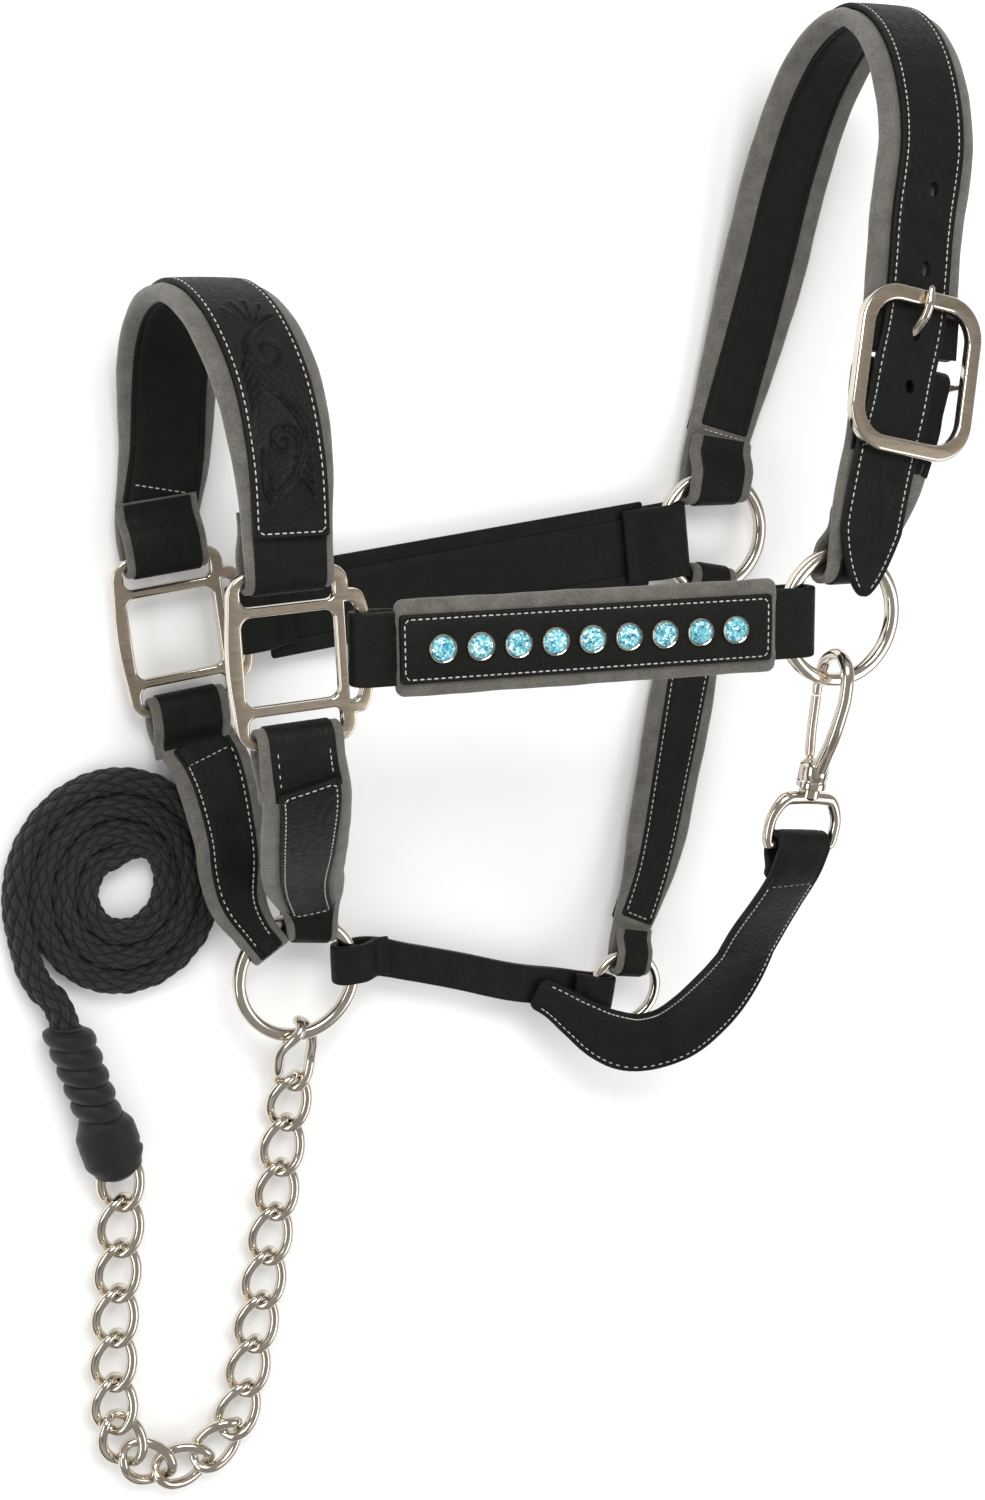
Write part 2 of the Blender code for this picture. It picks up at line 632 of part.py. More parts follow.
def chin_straps():
    """Two padded straps from the squares down to the chin ring."""
    radius = SQUARE_BAR_R + FOLD / 2
    ring_radius = RING_WIRE + RING_SLACK + GAP + FOLD / 2
    down = turned(-Y, NEAR_SQUARE_TURN)
    bar = NEAR_SQUARE + down * SQUARE_BAR_Y
    end_bar = fold_point(CHIN_RING, 75, RING_R, 18.5)
    rise = Vector((0.0, 0.94, 0.34)).normalized()
    face = Vector((0.0, -0.34, 0.94)).normalized()
    start = fold(bar, down, Z, radius, 22)[:-1]
    end = fold(end_bar, rise, face, ring_radius, 20)[:-1]
    run = [bar + Z * radius, bar + Z * radius + down * 9, (-121.5, 17, 110), (-115.5, -8, 88),
           (-106, -30, 55), end_bar + face * ring_radius + rise * 12, end_bar + face * ring_radius]
    sizes = [(0, 33, FOLD), (0.06, 33, 4.5), (0.1, 35, BODY), (0.84, 31, BODY), (0.93, 20, 4.5),
             (1, 18.5, FOLD)]
    across = [turned(X, NEAR_SQUARE_TURN), X, turned(X, -8)]
    strap("near_chin_padding", run, across, PADDING, sizes, start, end)
    top_strip("near_chin_strap", run, across, (3, 3), (24, 20), -TOP)

    down = turned(-Y, FAR_SQUARE_TURN)
    bar = FAR_SQUARE + down * SQUARE_BAR_Y
    end_bar = fold_point(CHIN_RING, 131, RING_R, 17.5)
    leave = turned(X, 126)
    start = fold(bar, down, -Z, radius, 20)[:-1]
    end = fold(end_bar, leave, Z, ring_radius, 16, FOLD)[:-1]
    run = [bar - Z * radius, bar - Z * radius + down * 9, (-127.5, 10, 14), (-123, -18, 22),
           (-121.5, -45, 25.6), end_bar + Z * ring_radius + leave * 8, end_bar + Z * ring_radius]
    sizes = [(0, 33, FOLD), (0.07, 33, 4.5), (0.11, 34, BODY), (0.62, 31, BODY), (0.85, 20, 4.5),
             (1, 17.5, FOLD)]
    across = [turned(X, FAR_SQUARE_TURN), X, turned(X, 12), turned(X, 32)]
    strap("far_chin_padding", run, across, PADDING, sizes, start, end)
    top_strip("far_chin_strap", run, across, (3, 5), (24, 20), TOP)


def throat_straps():
    """The strap under the jaw, and the two throat straps that meet it at the throat ring."""
    ring_radius = RING_WIRE + RING_SLACK + FOLD / 2
    small_radius = SMALL_RING_WIRE + RING_SLACK + FOLD / 2
    start_bar = fold_point(CHIN_RING, 8, RING_R, 17)
    end_bar = fold_point(THROAT_RING, 180, SMALL_RING_R, 15)
    leave = turned(X, 2)
    end_leave = turned(X, 170)
    start = fold(start_bar, leave, -Z, ring_radius, 20, 5)[:-1]
    end = fold(end_bar, end_leave, -Z, small_radius, 14, 5)[:-1]
    run = [start_bar - Z * ring_radius, start_bar - Z * ring_radius + leave * 11,
           (-40, -86, 15.5), (-17, -93, 15.5), (12, -102.5, 15.5),
           end_bar - Z * small_radius + end_leave * 9, end_bar - Z * small_radius]
    sizes = [(0, 17, FOLD), (0.09, 17, FOLD), (0.2, 16, 5), (0.8, 17, 5), (1, 15, FOLD)]
    across = [turned(-Y, 2), turned(-Y, -14), turned(-Y, -20), turned(-Y, -10)]
    strap("connecting_strap", run, across, LEATHER, sizes, start, end)

    start_bar = fold_point(FAR_RING, 268, RING_R, 23)
    end_bar = fold_point(THROAT_RING, 80, SMALL_RING_R, 17)
    leave = Vector((-0.2, -0.98, 0)).normalized()
    end_leave = Vector((0.22, 0.97, -0.08)).normalized()
    start = fold(start_bar, leave, -Z, ring_radius, 20)[:-1]
    end = fold(end_bar, end_leave, -Z, small_radius, 16)[:-1]
    run = [start_bar - Z * ring_radius, start_bar - Z * ring_radius + leave * 11,
           (96, -10, 6.4), (84, -58, 10), end_bar - Z * small_radius + end_leave * 10,
           end_bar - Z * small_radius]
    sizes = [(0, 23, FOLD), (0.06, 24, 4.5), (0.1, 34, BODY), (0.84, 28, BODY), (0.93, 19, 4.5),
             (1, 17, FOLD)]
    across = [turned(X, -10), turned(X, -13), turned(X, -10)]
    strap("far_throat_padding", run, across, PADDING, sizes, start, end)
    top_strip("far_throat_strap", run, across, (4, 4), (23, 18), TOP)

    side, _, _ = hook_axes()
    bar = in_hook(0, EYE_BAR)
    eye_radius = 2.3 + 2 * GAP + FOLD / 2
    leave = Vector((-0.05, -0.9, -0.43)).normalized()
    face = (Z - leave * Z.dot(leave)).normalized()
    start = fold(bar, leave, face, eye_radius, 17, FOLD)[:-1]
    run = [bar + face * eye_radius, bar + face * eye_radius + leave * 12, (87, -64, 100), (85, -92, 80),
           (81, -113, 62), (74, -127, 47), (62, -132, 36.5), (48, -127.5, 31), (38, -121, 30)]
    across = [side, X, X, Vector((0.85, -0.45, 0.25)), Vector((0.35, -0.93, 0.1)),
              Vector((-0.3, -0.95, 0.0))]
    sizes = [(0, 24, FOLD), (0.9, 24, FOLD), (1, 19, FOLD)]
    strap("near_throat_strap", run, across, LEATHER, sizes, start, None)


# ---------------------------------------------------------------- chain and rope

def chain():
    """The clip on the chin ring and the links after it; returns where the last link is."""
    clip = link("chain_clip", CLIP, -Y, 17.6, 9.4, 2.6, middle_turn=-20, half_turn=75, rise=-22)
    set_origin(clip, CHIN_RING - Y * RING_R)
    low = CHAIN_Z
    route = smooth([(-95, -143.5, low + 1.1), (-99, -169, low), (-102, -190, low), (-105.5, -210, low),
                    (-109, -230, low), (-113, -250, low), (-117.5, -270, low), (-123, -288, low),
                    (-134, -300.5, low), (-148.5, -305, low), (-163, -300.5, low), (-174, -288, low),
                    (-177.5, -268, low), (-176.5, -243, low), (-174.5, -218, low),
                    (-172.5, -197, low), (-171, -177, low), (-171, -150, low)], 2.0)
    distance = 0.0
    places = []
    for i in range(CHAIN_LINKS + 1):
        places.append(at_length(route, distance))
        distance += BEND_PITCH if i in BENT_LINKS else CHAIN_PITCH
    joint = Vector((CLIP.x, CLIP.y - 14.5, CHAIN_Z + 1.1))
    for i, (centre, direction) in enumerate(places):
        name = f"chain_link_{i + 1:02d}" if i < CHAIN_LINKS else "chain_end_link"
        made = link(name, centre, direction, LINK_HALF, LINK_SIDE, CHAIN_WIRE, rise=0 if i else -8)
        if i:
            joint = (centre + places[i - 1][0]) / 2
        set_origin(made, joint)
    return places[-1]


def rope(end_link):
    """The rope's knot on the last link, its whipping, its free stretch and its coil."""
    centre, direction = end_link
    knot = centre + direction * 3.5
    knot.z = 9.9
    top = Vector((-191.5, -96, 9.9))
    axis = top - knot
    way = axis.normalized()
    profile = [(5.5, 0.8), (8.6, 5), (9.3, 12), (8.2, 20), (9.7, 23), (9.8, axis.length - 2),
               (8.4, axis.length)]
    whipping = add("rope_whipping", turned_mesh("rope_whipping", profile, 14), ROPE)
    turn = Z.rotation_difference(way).to_matrix().to_4x4()
    whipping.matrix_world = Matrix.Translation(mm(knot)) @ turn
    room = link("link_room", centre, direction, LINK_HALF, LINK_SIDE, CHAIN_WIRE + 0.5)
    PARTS.objects.unlink(room)
    CUTTERS.objects.link(room)
    boolean(whipping, room, "DIFFERENCE")

    spiral = []
    for step in range(22):
        degrees = COIL_LEAVES - 324 * (1 - step / 21)
        radius = COIL_OUT - COIL_GROWTH * (COIL_LEAVES - degrees) / 360
        reach = turned(X, degrees) * radius
        spiral.append(COIL + Vector((reach.x * COIL_STRETCH[0], reach.y * COIL_STRETCH[1], 0)))
    tail = smooth([spiral[-1], (-203, -74, 6.8), top + way * 10 - Z * 1.2,
                   top + way * GAP - Z * 1.2], 10)[1:]
    add("lead_rope", tube_mesh("lead_rope", spiral + tail, ROPE_R - 0.05, 2), ROPE)
    inner, outer = COIL_SOLID
    profile = [(inner, 0), (outer, 0), (outer, 2 * ROPE_R), (inner, 2 * ROPE_R)]
    coil = add("rope_coil", turned_mesh("rope_coil", profile, 28, hollow=True), ROPE)
    coil.matrix_world = Matrix.Translation(mm(Vector((COIL.x, COIL.y, 0))))


def build():
    square("near_square", NEAR_SQUARE, NEAR_SQUARE_TURN)
    square("far_square", FAR_SQUARE, FAR_SQUARE_TURN)
    ring("near_ring", NEAR_RING, RING_R, RING_WIRE)
    ring("far_ring", FAR_RING, RING_R, RING_WIRE)
    ring("chin_ring", CHIN_RING, RING_R, RING_WIRE)
    ring("throat_ring", THROAT_RING, SMALL_RING_R, SMALL_RING_WIRE, 24)
    noseband()
    cheeks()
    crown()
    buckle()
    prong()
    snap_hook()
    chin_straps()
    throat_straps()
    rope(chain())
    for obj in [*PARTS.objects, *CUTTERS.objects]:
        obj.matrix_world = Matrix.Translation(-mm(ORIGIN)) @ obj.matrix_world


build()
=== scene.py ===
import math
import random

import bmesh
import bpy
import numpy as np
from mathutils import Matrix

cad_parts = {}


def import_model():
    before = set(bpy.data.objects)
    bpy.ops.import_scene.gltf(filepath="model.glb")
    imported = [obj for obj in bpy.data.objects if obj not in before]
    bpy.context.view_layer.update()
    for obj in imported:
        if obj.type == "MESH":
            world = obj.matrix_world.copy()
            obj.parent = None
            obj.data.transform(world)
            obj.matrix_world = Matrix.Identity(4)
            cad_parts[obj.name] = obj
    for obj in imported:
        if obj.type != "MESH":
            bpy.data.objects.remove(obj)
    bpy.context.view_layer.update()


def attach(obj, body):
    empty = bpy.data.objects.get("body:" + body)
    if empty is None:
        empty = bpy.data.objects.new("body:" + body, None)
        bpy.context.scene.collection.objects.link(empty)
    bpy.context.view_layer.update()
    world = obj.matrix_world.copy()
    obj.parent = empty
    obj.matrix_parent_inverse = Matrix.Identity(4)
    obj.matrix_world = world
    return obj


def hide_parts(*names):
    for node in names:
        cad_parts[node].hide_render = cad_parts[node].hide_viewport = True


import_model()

# Lengths below are in millimetres, in the layout that the model was drawn in; world() turns them
# into the row frame's metres. The driving dimensions and routes repeat the CAD model's.
ORIGIN = np.array([-6.0, 2.0, 0.0])
GAP = 0.3
BODY = 6.0
FOLD = 3.0
STRIP = 2.4
TOP = BODY / 2 + GAP + STRIP / 2
FLOOR_BAR = 10.8
NEAR_SQUARE = np.array([-127, 69, 112.0])
FAR_SQUARE = np.array([-140, 66, FLOOR_BAR])
NEAR_SQUARE_TURN = 3.0
FAR_SQUARE_TURN = 7.0
SQUARE_BAR_Y = 31.0
SQUARE_BAR_X = 29.5
SQUARE_BAR_R = 3.4
NEAR_RING = np.array([98, 74, 135.0])
FAR_RING = np.array([113, 96, FLOOR_BAR])
CHIN_RING = np.array([-94, -84, 20.0])
THROAT_RING = np.array([66, -111, 20.0])
RING_R = 25.8
RING_WIRE = 2.8
SMALL_RING_R = 16.0
SMALL_RING_WIRE = 2.3
FOLD_EASE = 1.6
RING_SLACK = 0.75
BUCKLE = np.array([121.5, 170, 139.5])
BUCKLE_BAR_DROP = 8.2
BUCKLE_RIM_RISE = 4.2
PRONG_X = 3
HOOK_COLLAR = np.array([91, 8, 130.5])
EYE_HALF_WIDTH = 16.0
EYE_TOP = 9.5
EYE_BAR = 29.5
CLIP = np.array([-94, -120.5, 16.0])
CHAIN_WIRE = 2.1
LINK_HALF = 12.6
LINK_SIDE = 8.4
CHAIN_LINKS = 17
CHAIN_PITCH = 20.5
BEND_PITCH = 17.5
BENT_LINKS = range(7, 12)
CHAIN_Z = 8.4
ROPE_R = 6.0
COIL = np.array([-165.5, -40, ROPE_R])
COIL_OUT = 45.5
COIL_GROWTH = 10.0
COIL_STRETCH = np.array([0.97, 1.07, 0])
COIL_LEAVES = 195.0
COIL_TURNS = 3.45

X = np.array([1.0, 0, 0])
Y = np.array([0, 1.0, 0])
Z = np.array([0, 0, 1.0])


# ---------------------------------------------------------------- vectors and routes

def world(points):
    return (np.asarray(points, float) - ORIGIN) * 0.001


def vec(*values):
    return np.array(values, float)


def unit(v):
    v = np.asarray(v, float)
    return v / np.maximum(np.linalg.norm(v, axis=-1, keepdims=True), 1e-9)


def turned(v, degrees):
    c, s = math.cos(math.radians(degrees)), math.sin(math.radians(degrees))
    return np.array([v[0] * c - v[1] * s, v[0] * s + v[1] * c, v[2]])


def smooth(points, step):
    """Points about a step apart on a centripetal Catmull-Rom curve through the given points."""
    points = [np.asarray(p, float) for p in points]
    ends = [2 * points[0] - points[1], *points, 2 * points[-1] - points[-2]]
    out = []
    for p0, p1, p2, p3 in zip(ends, ends[1:], ends[2:], ends[3:]):
        t0 = 0.0
        t1 = t0 + math.sqrt(np.linalg.norm(p1 - p0))
        t2 = t1 + math.sqrt(np.linalg.norm(p2 - p1))
        t3 = t2 + math.sqrt(np.linalg.norm(p3 - p2))
        for i in range(max(1, round(np.linalg.norm(p2 - p1) / step))):
            t = t1 + (t2 - t1) * i / max(1, round(np.linalg.norm(p2 - p1) / step))
            a1 = p0 * ((t1 - t) / (t1 - t0)) + p1 * ((t - t0) / (t1 - t0))
            a2 = p1 * ((t2 - t) / (t2 - t1)) + p2 * ((t - t1) / (t2 - t1))
            a3 = p2 * ((t3 - t) / (t3 - t2)) + p3 * ((t - t2) / (t3 - t2))
            b1 = a1 * ((t2 - t) / (t2 - t0)) + a2 * ((t - t0) / (t2 - t0))
            b2 = a2 * ((t3 - t) / (t3 - t1)) + a3 * ((t - t1) / (t3 - t1))
            out.append(b1 * ((t2 - t) / (t2 - t1)) + b2 * ((t - t1) / (t2 - t1)))
    out.append(points[-1])
    return np.array(out)


def lengths(points):
    return np.r_[0, np.cumsum(np.linalg.norm(np.diff(points, axis=0), axis=1))]


def resample(points, pitch):
    """Points at equal distances, nearly a pitch apart, and the directions there."""
    total = lengths(points)
    spots = np.linspace(0, total[-1], max(2, int(round(total[-1] / pitch)) + 1))
    spots = np.stack([np.interp(spots, total, points[:, i]) for i in range(points.shape[1])], 1)
    return spots, unit(np.gradient(spots, axis=0))


def at_length(points, distance):
    total = lengths(points)
    here = np.array([np.interp(distance, total, points[:, i]) for i in range(3)])
    i = min(int(np.searchsorted(total, distance, side="left")), len(points) - 1)
    i = max(i, 1)
    return here, unit(points[i] - points[i - 1])


def eased(x, places, values):
    """Values that change smoothly from each place to the next."""
    x = np.asarray(x, float)
    out = np.full(x.shape, float(values[0]))
    for p0, p1, v0, v1 in zip(places, places[1:], values, values[1:]):
        t = np.clip((x - p0) / max(p1 - p0, 1e-9), 0, 1)
        out = out + (v1 - v0) * t * t * (3 - 2 * t)
    return out


def fold(bar, leave, face, radius, tail, body=BODY):
    """Leather folded round a bar: the end of its tail first, then round to the main run."""
    close = radius - body / 2 - GAP - 0.3 - FOLD / 2
    low = smooth([bar + leave * tail + face * close, bar + leave * (tail * 0.72) + face * close,
                  bar + leave * (tail * 0.36) - face * (radius * 0.9), bar - face * radius], 1.2)
    arc = []
    for step in range(1, 14):
        angle = math.pi * step / 14
        arc.append(bar - face * (radius * math.cos(angle)) - leave * (radius * math.sin(angle)))
    return [*low, *arc]


def ring_point(centre, degrees, radius):
    return centre + turned(X, degrees) * radius


def fold_point(centre, degrees, radius, width):
    return ring_point(centre, degrees, math.sqrt(radius ** 2 - (width / 2) ** 2) - FOLD_EASE)


class Band:
    """A strap's path. A place on it is s along the main run, u across it and h out from its middle.

    s is 0 at the start of the main run and length at its end; the folded ends lie outside that.
    """

    def __init__(self, run, across, start=(), end=(), out=1, step=1.2):
        middle = smooth(run, step)
        points = np.array([*start, *middle, *reversed(list(end))])
        keep = np.r_[True, np.linalg.norm(np.diff(points, axis=0), axis=1) > 1e-3]
        first, last = len(start), len(start) + len(middle) - 1
        total = lengths(points)
        self.length = total[last] - total[first]
        self.low, self.high = -total[first], total[-1] - total[first]
        s = total - total[first]
        place = np.clip(s / self.length, 0, 0.9999) * (len(across) - 1)
        index = place.astype(int)
        across = np.array([*across, across[-1]])
        side = across[index] + (across[index + 1] - across[index]) * (place - index)[:, None]
        points, s, side = points[keep], s[keep], side[keep]
        tangent = unit(np.gradient(points, axis=0))
        side = unit(side - tangent * np.sum(side * tangent, 1)[:, None])
        normal = np.cross(side, tangent) * out
        self.s, self.table = s, np.hstack([points, side, normal, tangent])

    def frames(self, s):
        rows = np.stack([np.interp(s, self.s, self.table[:, i]) for i in range(12)], -1)
        return [rows[..., 0:3], *(unit(rows[..., i:i + 3]) for i in (3, 6, 9))]

    def at(self, s, u, h):
        point, side, normal, _ = self.frames(np.asarray(s, float))
        return point + side * np.asarray(u)[..., None] + normal * np.asarray(h)[..., None]

    def flipped(self):
        """The same path with its height counted towards the other side."""
        other = Band.__new__(Band)
        other.__dict__ = dict(self.__dict__)
        other.table = self.table.copy()
        other.table[:, 6:9] *= -1
        return other


# ---------------------------------------------------------------- materials

def new_material(name, colour, roughness, metallic=0.0, **sockets):
    made = bpy.data.materials.new(name)
    made.use_nodes = True
    shader = made.node_tree.nodes["Principled BSDF"]
    shader.inputs["Base Color"].default_value = (*colour, 1)
    shader.inputs["Roughness"].default_value = roughness
    shader.inputs["Metallic"].default_value = metallic
    for socket, value in sockets.items():
        shader.inputs[socket.replace("_", " ")].default_value = value
    return made, made.node_tree, shader


def node(tree, kind, **values):
    made = tree.nodes.new(kind)
    for key, value in values.items():
        if key in made.inputs:
            made.inputs[key].default_value = value
        else:
            setattr(made, key, value)
    return made


def ramp(tree, source, stops):
    made = node(tree, "ShaderNodeValToRGB")
    elements = made.color_ramp.elements
    while len(elements) < len(stops):
        elements.new(0.5)
    for element, (place, colour) in zip(elements, stops):
        element.position = place
        element.color = (*colour, 1) if len(colour) == 3 else (colour[0],) * 3 + (1,)
    tree.links.new(source, made.inputs["Fac"])
    return made.outputs["Color"]


def coordinates(tree, scale=(1, 1, 1), turn=(0, 0, 0)):
    where = node(tree, "ShaderNodeTexCoord")
    mapping = node(tree, "ShaderNodeMapping")
    mapping.inputs["Scale"].default_value = scale
    mapping.inputs["Rotation"].default_value = turn
    tree.links.new(where.outputs["Object"], mapping.inputs["Vector"])
    return mapping.outputs["Vector"]


def noise(tree, vector, scale, detail=3.0, roughness=0.55):
    made = node(tree, "ShaderNodeTexNoise", Scale=scale, Detail=detail, Roughness=roughness)
    tree.links.new(vector, made.inputs["Vector"])
    return made.outputs["Fac"]


def cells(tree, vector, scale, feature="F1", smoothness=0.6):
    made = node(tree, "ShaderNodeTexVoronoi", feature=feature, Scale=scale)
    if feature == "SMOOTH_F1":
        made.inputs["Smoothness"].default_value = smoothness
    tree.links.new(vector, made.inputs["Vector"])
    return made.outputs["Distance"]


def multiplied(tree, first, second):
    """The product of two colours."""
    mixed = node(tree, "ShaderNodeMix", data_type="RGBA", blend_type="MULTIPLY")
    mixed.inputs["Factor"].default_value = 1.0
    tree.links.new(first, mixed.inputs["A"])
    tree.links.new(second, mixed.inputs["B"])
    return mixed.outputs["Result"]


def add_bumps(tree, shader, layers):
    """layers are (height, strength, distance in metres), laid one on another."""
    last = None
    for height, strength, distance in layers:
        bump = node(tree, "ShaderNodeBump", Strength=strength, Distance=distance)
        tree.links.new(height, bump.inputs["Height"])
        if last:
            tree.links.new(last, bump.inputs["Normal"])
        last = bump.outputs["Normal"]
    tree.links.new(last, shader.inputs["Normal"])


def leather(name, dark, light, grain, roughness):
    """Black leather: pebble grain, finer creases and a faint change of tone and gloss."""
    made, tree, shader = new_material(name, dark, roughness, Specular_IOR_Level=0.21)
    vector = coordinates(tree)
    pebbles = cells(tree, vector, grain, "SMOOTH_F1")
    tone = ramp(tree, noise(tree, vector, 140), [(0.3, dark), (0.72, light)])
    tree.links.new(tone, shader.inputs["Base Color"])
    gloss = ramp(tree, noise(tree, vector, 420, 4), [(0.3, (roughness - 0.07,)), (0.7, (roughness + 0.1,))])
    tree.links.new(gloss, shader.inputs["Roughness"])
    add_bumps(tree, shader, [(pebbles, 0.42, 0.0006), (noise(tree, vector, 2600, 5), 0.22, 0.0002),
                             (noise(tree, vector, 90), 0.18, 0.0012)])
    return made


def nubuck():
    """Grey suede-like padding: mottled tone, soft nap and shallow dimples."""
    made, tree, shader = new_material("nubuck", (0.2, 0.185, 0.16), 0.85, Specular_IOR_Level=0.25,
                                      Sheen_Weight=0.25, Sheen_Roughness=0.5)
    vector = coordinates(tree)
    patches = noise(tree, vector, 130, 4)
    coarse = ramp(tree, patches, [(0.28, (0.106, 0.099, 0.086)), (0.75, (0.172, 0.162, 0.143))])
    fine = ramp(tree, noise(tree, vector, 1150, 4, 0.75), [(0.32, (0.55,)), (0.66, (1.0,))])
    tree.links.new(multiplied(tree, coarse, fine), shader.inputs["Base Color"])
    nap = noise(tree, vector, 1150, 4)
    dimples = cells(tree, vector, 620)
    add_bumps(tree, shader, [(nap, 0.6, 0.0006), (dimples, 0.2, 0.0006)])
    return made


def nickel(name, deep, pale, roughness, brushed):
    """Warm nickel: fine random scratches where brushed, faint clouding where polished."""
    made, tree, shader = new_material(name, pale, roughness, 1.0)
    vector = coordinates(tree, (1, 1, 1) if not brushed else (1, 9, 1), (0, 0, math.radians(8)))
    clouds = noise(tree, vector, 260, 5)
    spread = 0.09 if brushed else 0.05
    gloss = ramp(tree, clouds, [(0.3, (roughness - spread / 2,)), (0.7, (roughness + spread,))])
    tree.links.new(gloss, shader.inputs["Roughness"])
    tone = ramp(tree, noise(tree, vector, 60), [(0.3, deep), (0.7, pale)])
    tree.links.new(tone, shader.inputs["Base Color"])
    if brushed:
        add_bumps(tree, shader, [(noise(tree, vector, 2400, 3), 0.12, 0.0001)])
    return made


def aqua():
    """Crushed-ice stone: aqua cells with white and deep blue flecks under a hard gloss."""
    made, tree, shader = new_material("aqua_stone", (0.2, 0.62, 0.75), 0.06, Coat_Weight=0.8,
                                      Coat_Roughness=0.03)
    vector = coordinates(tree)
    made_cells = node(tree, "ShaderNodeTexVoronoi", feature="F1", Scale=1150.0)
    tree.links.new(vector, made_cells.inputs["Vector"])
    split = node(tree, "ShaderNodeSeparateColor")
    tree.links.new(made_cells.outputs["Color"], split.inputs["Color"])
    stops = [(0.0, (0.015, 0.10, 0.16)), (0.14, (0.04, 0.25, 0.34)), (0.34, (0.09, 0.38, 0.46)),
             (0.62, (0.16, 0.50, 0.58)), (0.84, (0.42, 0.74, 0.78)), (1.0, (0.9, 0.97, 0.98))]
    tree.links.new(ramp(tree, split.outputs["Red"], stops), shader.inputs["Base Color"])
    add_bumps(tree, shader, [(made_cells.outputs["Distance"], 0.5, 0.0004)])
    return made


def thread():
    made, tree, shader = new_material("thread", (0.78, 0.76, 0.70), 0.7)
    twist = noise(tree, coordinates(tree), 3000, 2)
    add_bumps(tree, shader, [(twist, 0.3, 0.0002)])
    tone = ramp(tree, noise(tree, coordinates(tree), 500),
                [(0.3, (0.34, 0.33, 0.30)), (0.7, (0.62, 0.60, 0.56))])
    tree.links.new(tone, shader.inputs["Base Color"])
    return made


def cordage(name, dark, light, roughness):
    """Black braided or smooth cord: fine fibres over a slightly uneven black, with painted shade darkening
    its hollows.
    """
    made, tree, shader = new_material(name, dark, roughness, Specular_IOR_Level=0.3, Sheen_Weight=0.12)
    vector = coordinates(tree)
    tone = ramp(tree, noise(tree, vector, 400, 4), [(0.3, dark), (0.72, light)])
    # Painted shade: the base colour is darkened where the surface curves inwards, in the hollows between
    # strands and wraps.
    painted_shade_mask = node(tree, "ShaderNodeNewGeometry").outputs["Pointiness"]
    painted_hollow_shade = ramp(tree, painted_shade_mask, [(0.46, (0.12,)), (0.52, (1.0,))])
    tree.links.new(multiplied(tree, tone, painted_hollow_shade), shader.inputs["Base Color"])
    add_bumps(tree, shader, [(noise(tree, vector, 2600, 4, 0.65), 0.4, 0.0003)])
    return made


BLACK = leather("strap_leather", (0.0038, 0.0038, 0.0034), (0.0068, 0.0067, 0.0060), 760, 0.56)
LINING = leather("lining_leather", (0.0040, 0.0040, 0.0036), (0.0068, 0.0067, 0.0062), 1100, 0.56)
GREY = nubuck()
POLISHED = nickel("polished_nickel", (0.66, 0.595, 0.51), (0.76, 0.71, 0.63), 0.12, False)
BRUSHED = nickel("brushed_face", (0.50, 0.415, 0.315), (0.60, 0.51, 0.40), 0.30, True)
STONE = aqua()
THREAD = thread()
ROPE = cordage("rope_braid", (0.0085, 0.0085, 0.0085), (0.019, 0.019, 0.0185), 0.62)
WRAP = cordage("rope_wrap", (0.007, 0.007, 0.007), (0.012, 0.012, 0.0115), 0.55)


# ---------------------------------------------------------------- meshes

def make(name, points, faces, finish, body="headcollar", slot="black_leather", stands_for=(), angle=50,
         flat=False):
    """A piece from points in layout millimetres, riding on a body."""
    mesh = bpy.data.meshes.new(name)
    mesh.from_pydata(world(points).tolist(), [], faces)
    bm = bmesh.new()
    bm.from_mesh(mesh)
    bmesh.ops.recalc_face_normals(bm, faces=bm.faces)
    bm.to_mesh(mesh)
    bm.free()
    if not flat:
        mesh.shade_smooth()
        mesh.set_sharp_from_angle(angle=math.radians(angle))
    mesh.materials.append(finish)
    obj = bpy.data.objects.new(name, mesh)
    bpy.context.scene.collection.objects.link(obj)
    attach(obj, body)
    if stands_for:
        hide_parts(*stands_for)
    return obj


def metal(name, shape, body="headcollar", stands_for=(), angle=50):
    """A polished metal piece from (points, faces)."""
    make(name, *shape, POLISHED, body, "brushed_nickel", stands_for, angle)


def grid_faces(rows, columns, wrap_rows=False, offset=0):
    """Quads of a grid whose columns close on themselves; its ends are capped unless rows wrap."""
    faces = []
    for i in range(rows if wrap_rows else rows - 1):
        for j in range(columns):
            a, b = i * columns + j, i * columns + (j + 1) % columns
            c, d = (i + 1) % rows * columns + (j + 1) % columns, (i + 1) % rows * columns + j
            faces.append((a + offset, b + offset, c + offset, d + offset))
    if not wrap_rows:
        faces.append(tuple(offset + j for j in range(columns))[::-1])
        faces.append(tuple(offset + (rows - 1) * columns + j for j in range(columns)))
    return faces


def joined(shapes):
    """Several (points, faces) as one."""
    points, faces, offset = [], [], 0
    for some, quads in shapes:
        some = np.asarray(some, float).reshape(-1, 3)
        points.append(some)
        faces += [tuple(i + offset for i in quad) for quad in quads]
        offset += len(some)
    return np.vstack(points), faces


def value(source, s):
    return source(s) if callable(source) else np.full(np.shape(s), float(source))


def stations(s0, s1, step, bevels):
    """Places from s0 to s1, closer together where the ends are rounded."""
    rounds = [r * (1 - math.cos(math.radians(a))) for r in bevels if r for a in range(0, 91, 18)]
    near = sorted({round(d, 3) for d in rounds})
    middle = np.linspace(s0, s1, max(3, int((s1 - s0) / step)))
    longest = max([0, *near])
    middle = [s for s in middle if s0 + longest < s < s1 - longest]
    return np.array([*(s0 + d for d in near or [0]), *middle, *(s1 - d for d in reversed(near or [0]))])


def sweep(x, y, radius, start, end, steps):
    """Points on a circle from one angle to another, in degrees."""
    angles = [math.radians(start + (end - start) * k / steps) for k in range(steps + 1)]
    return [(x + radius * math.cos(a), y + radius * math.sin(a)) for a in angles]


def quarter(u, h, radius, start):
    """A rounded corner of a strap's section."""
    return sweep(u, h, radius, start, start + 90, 4)


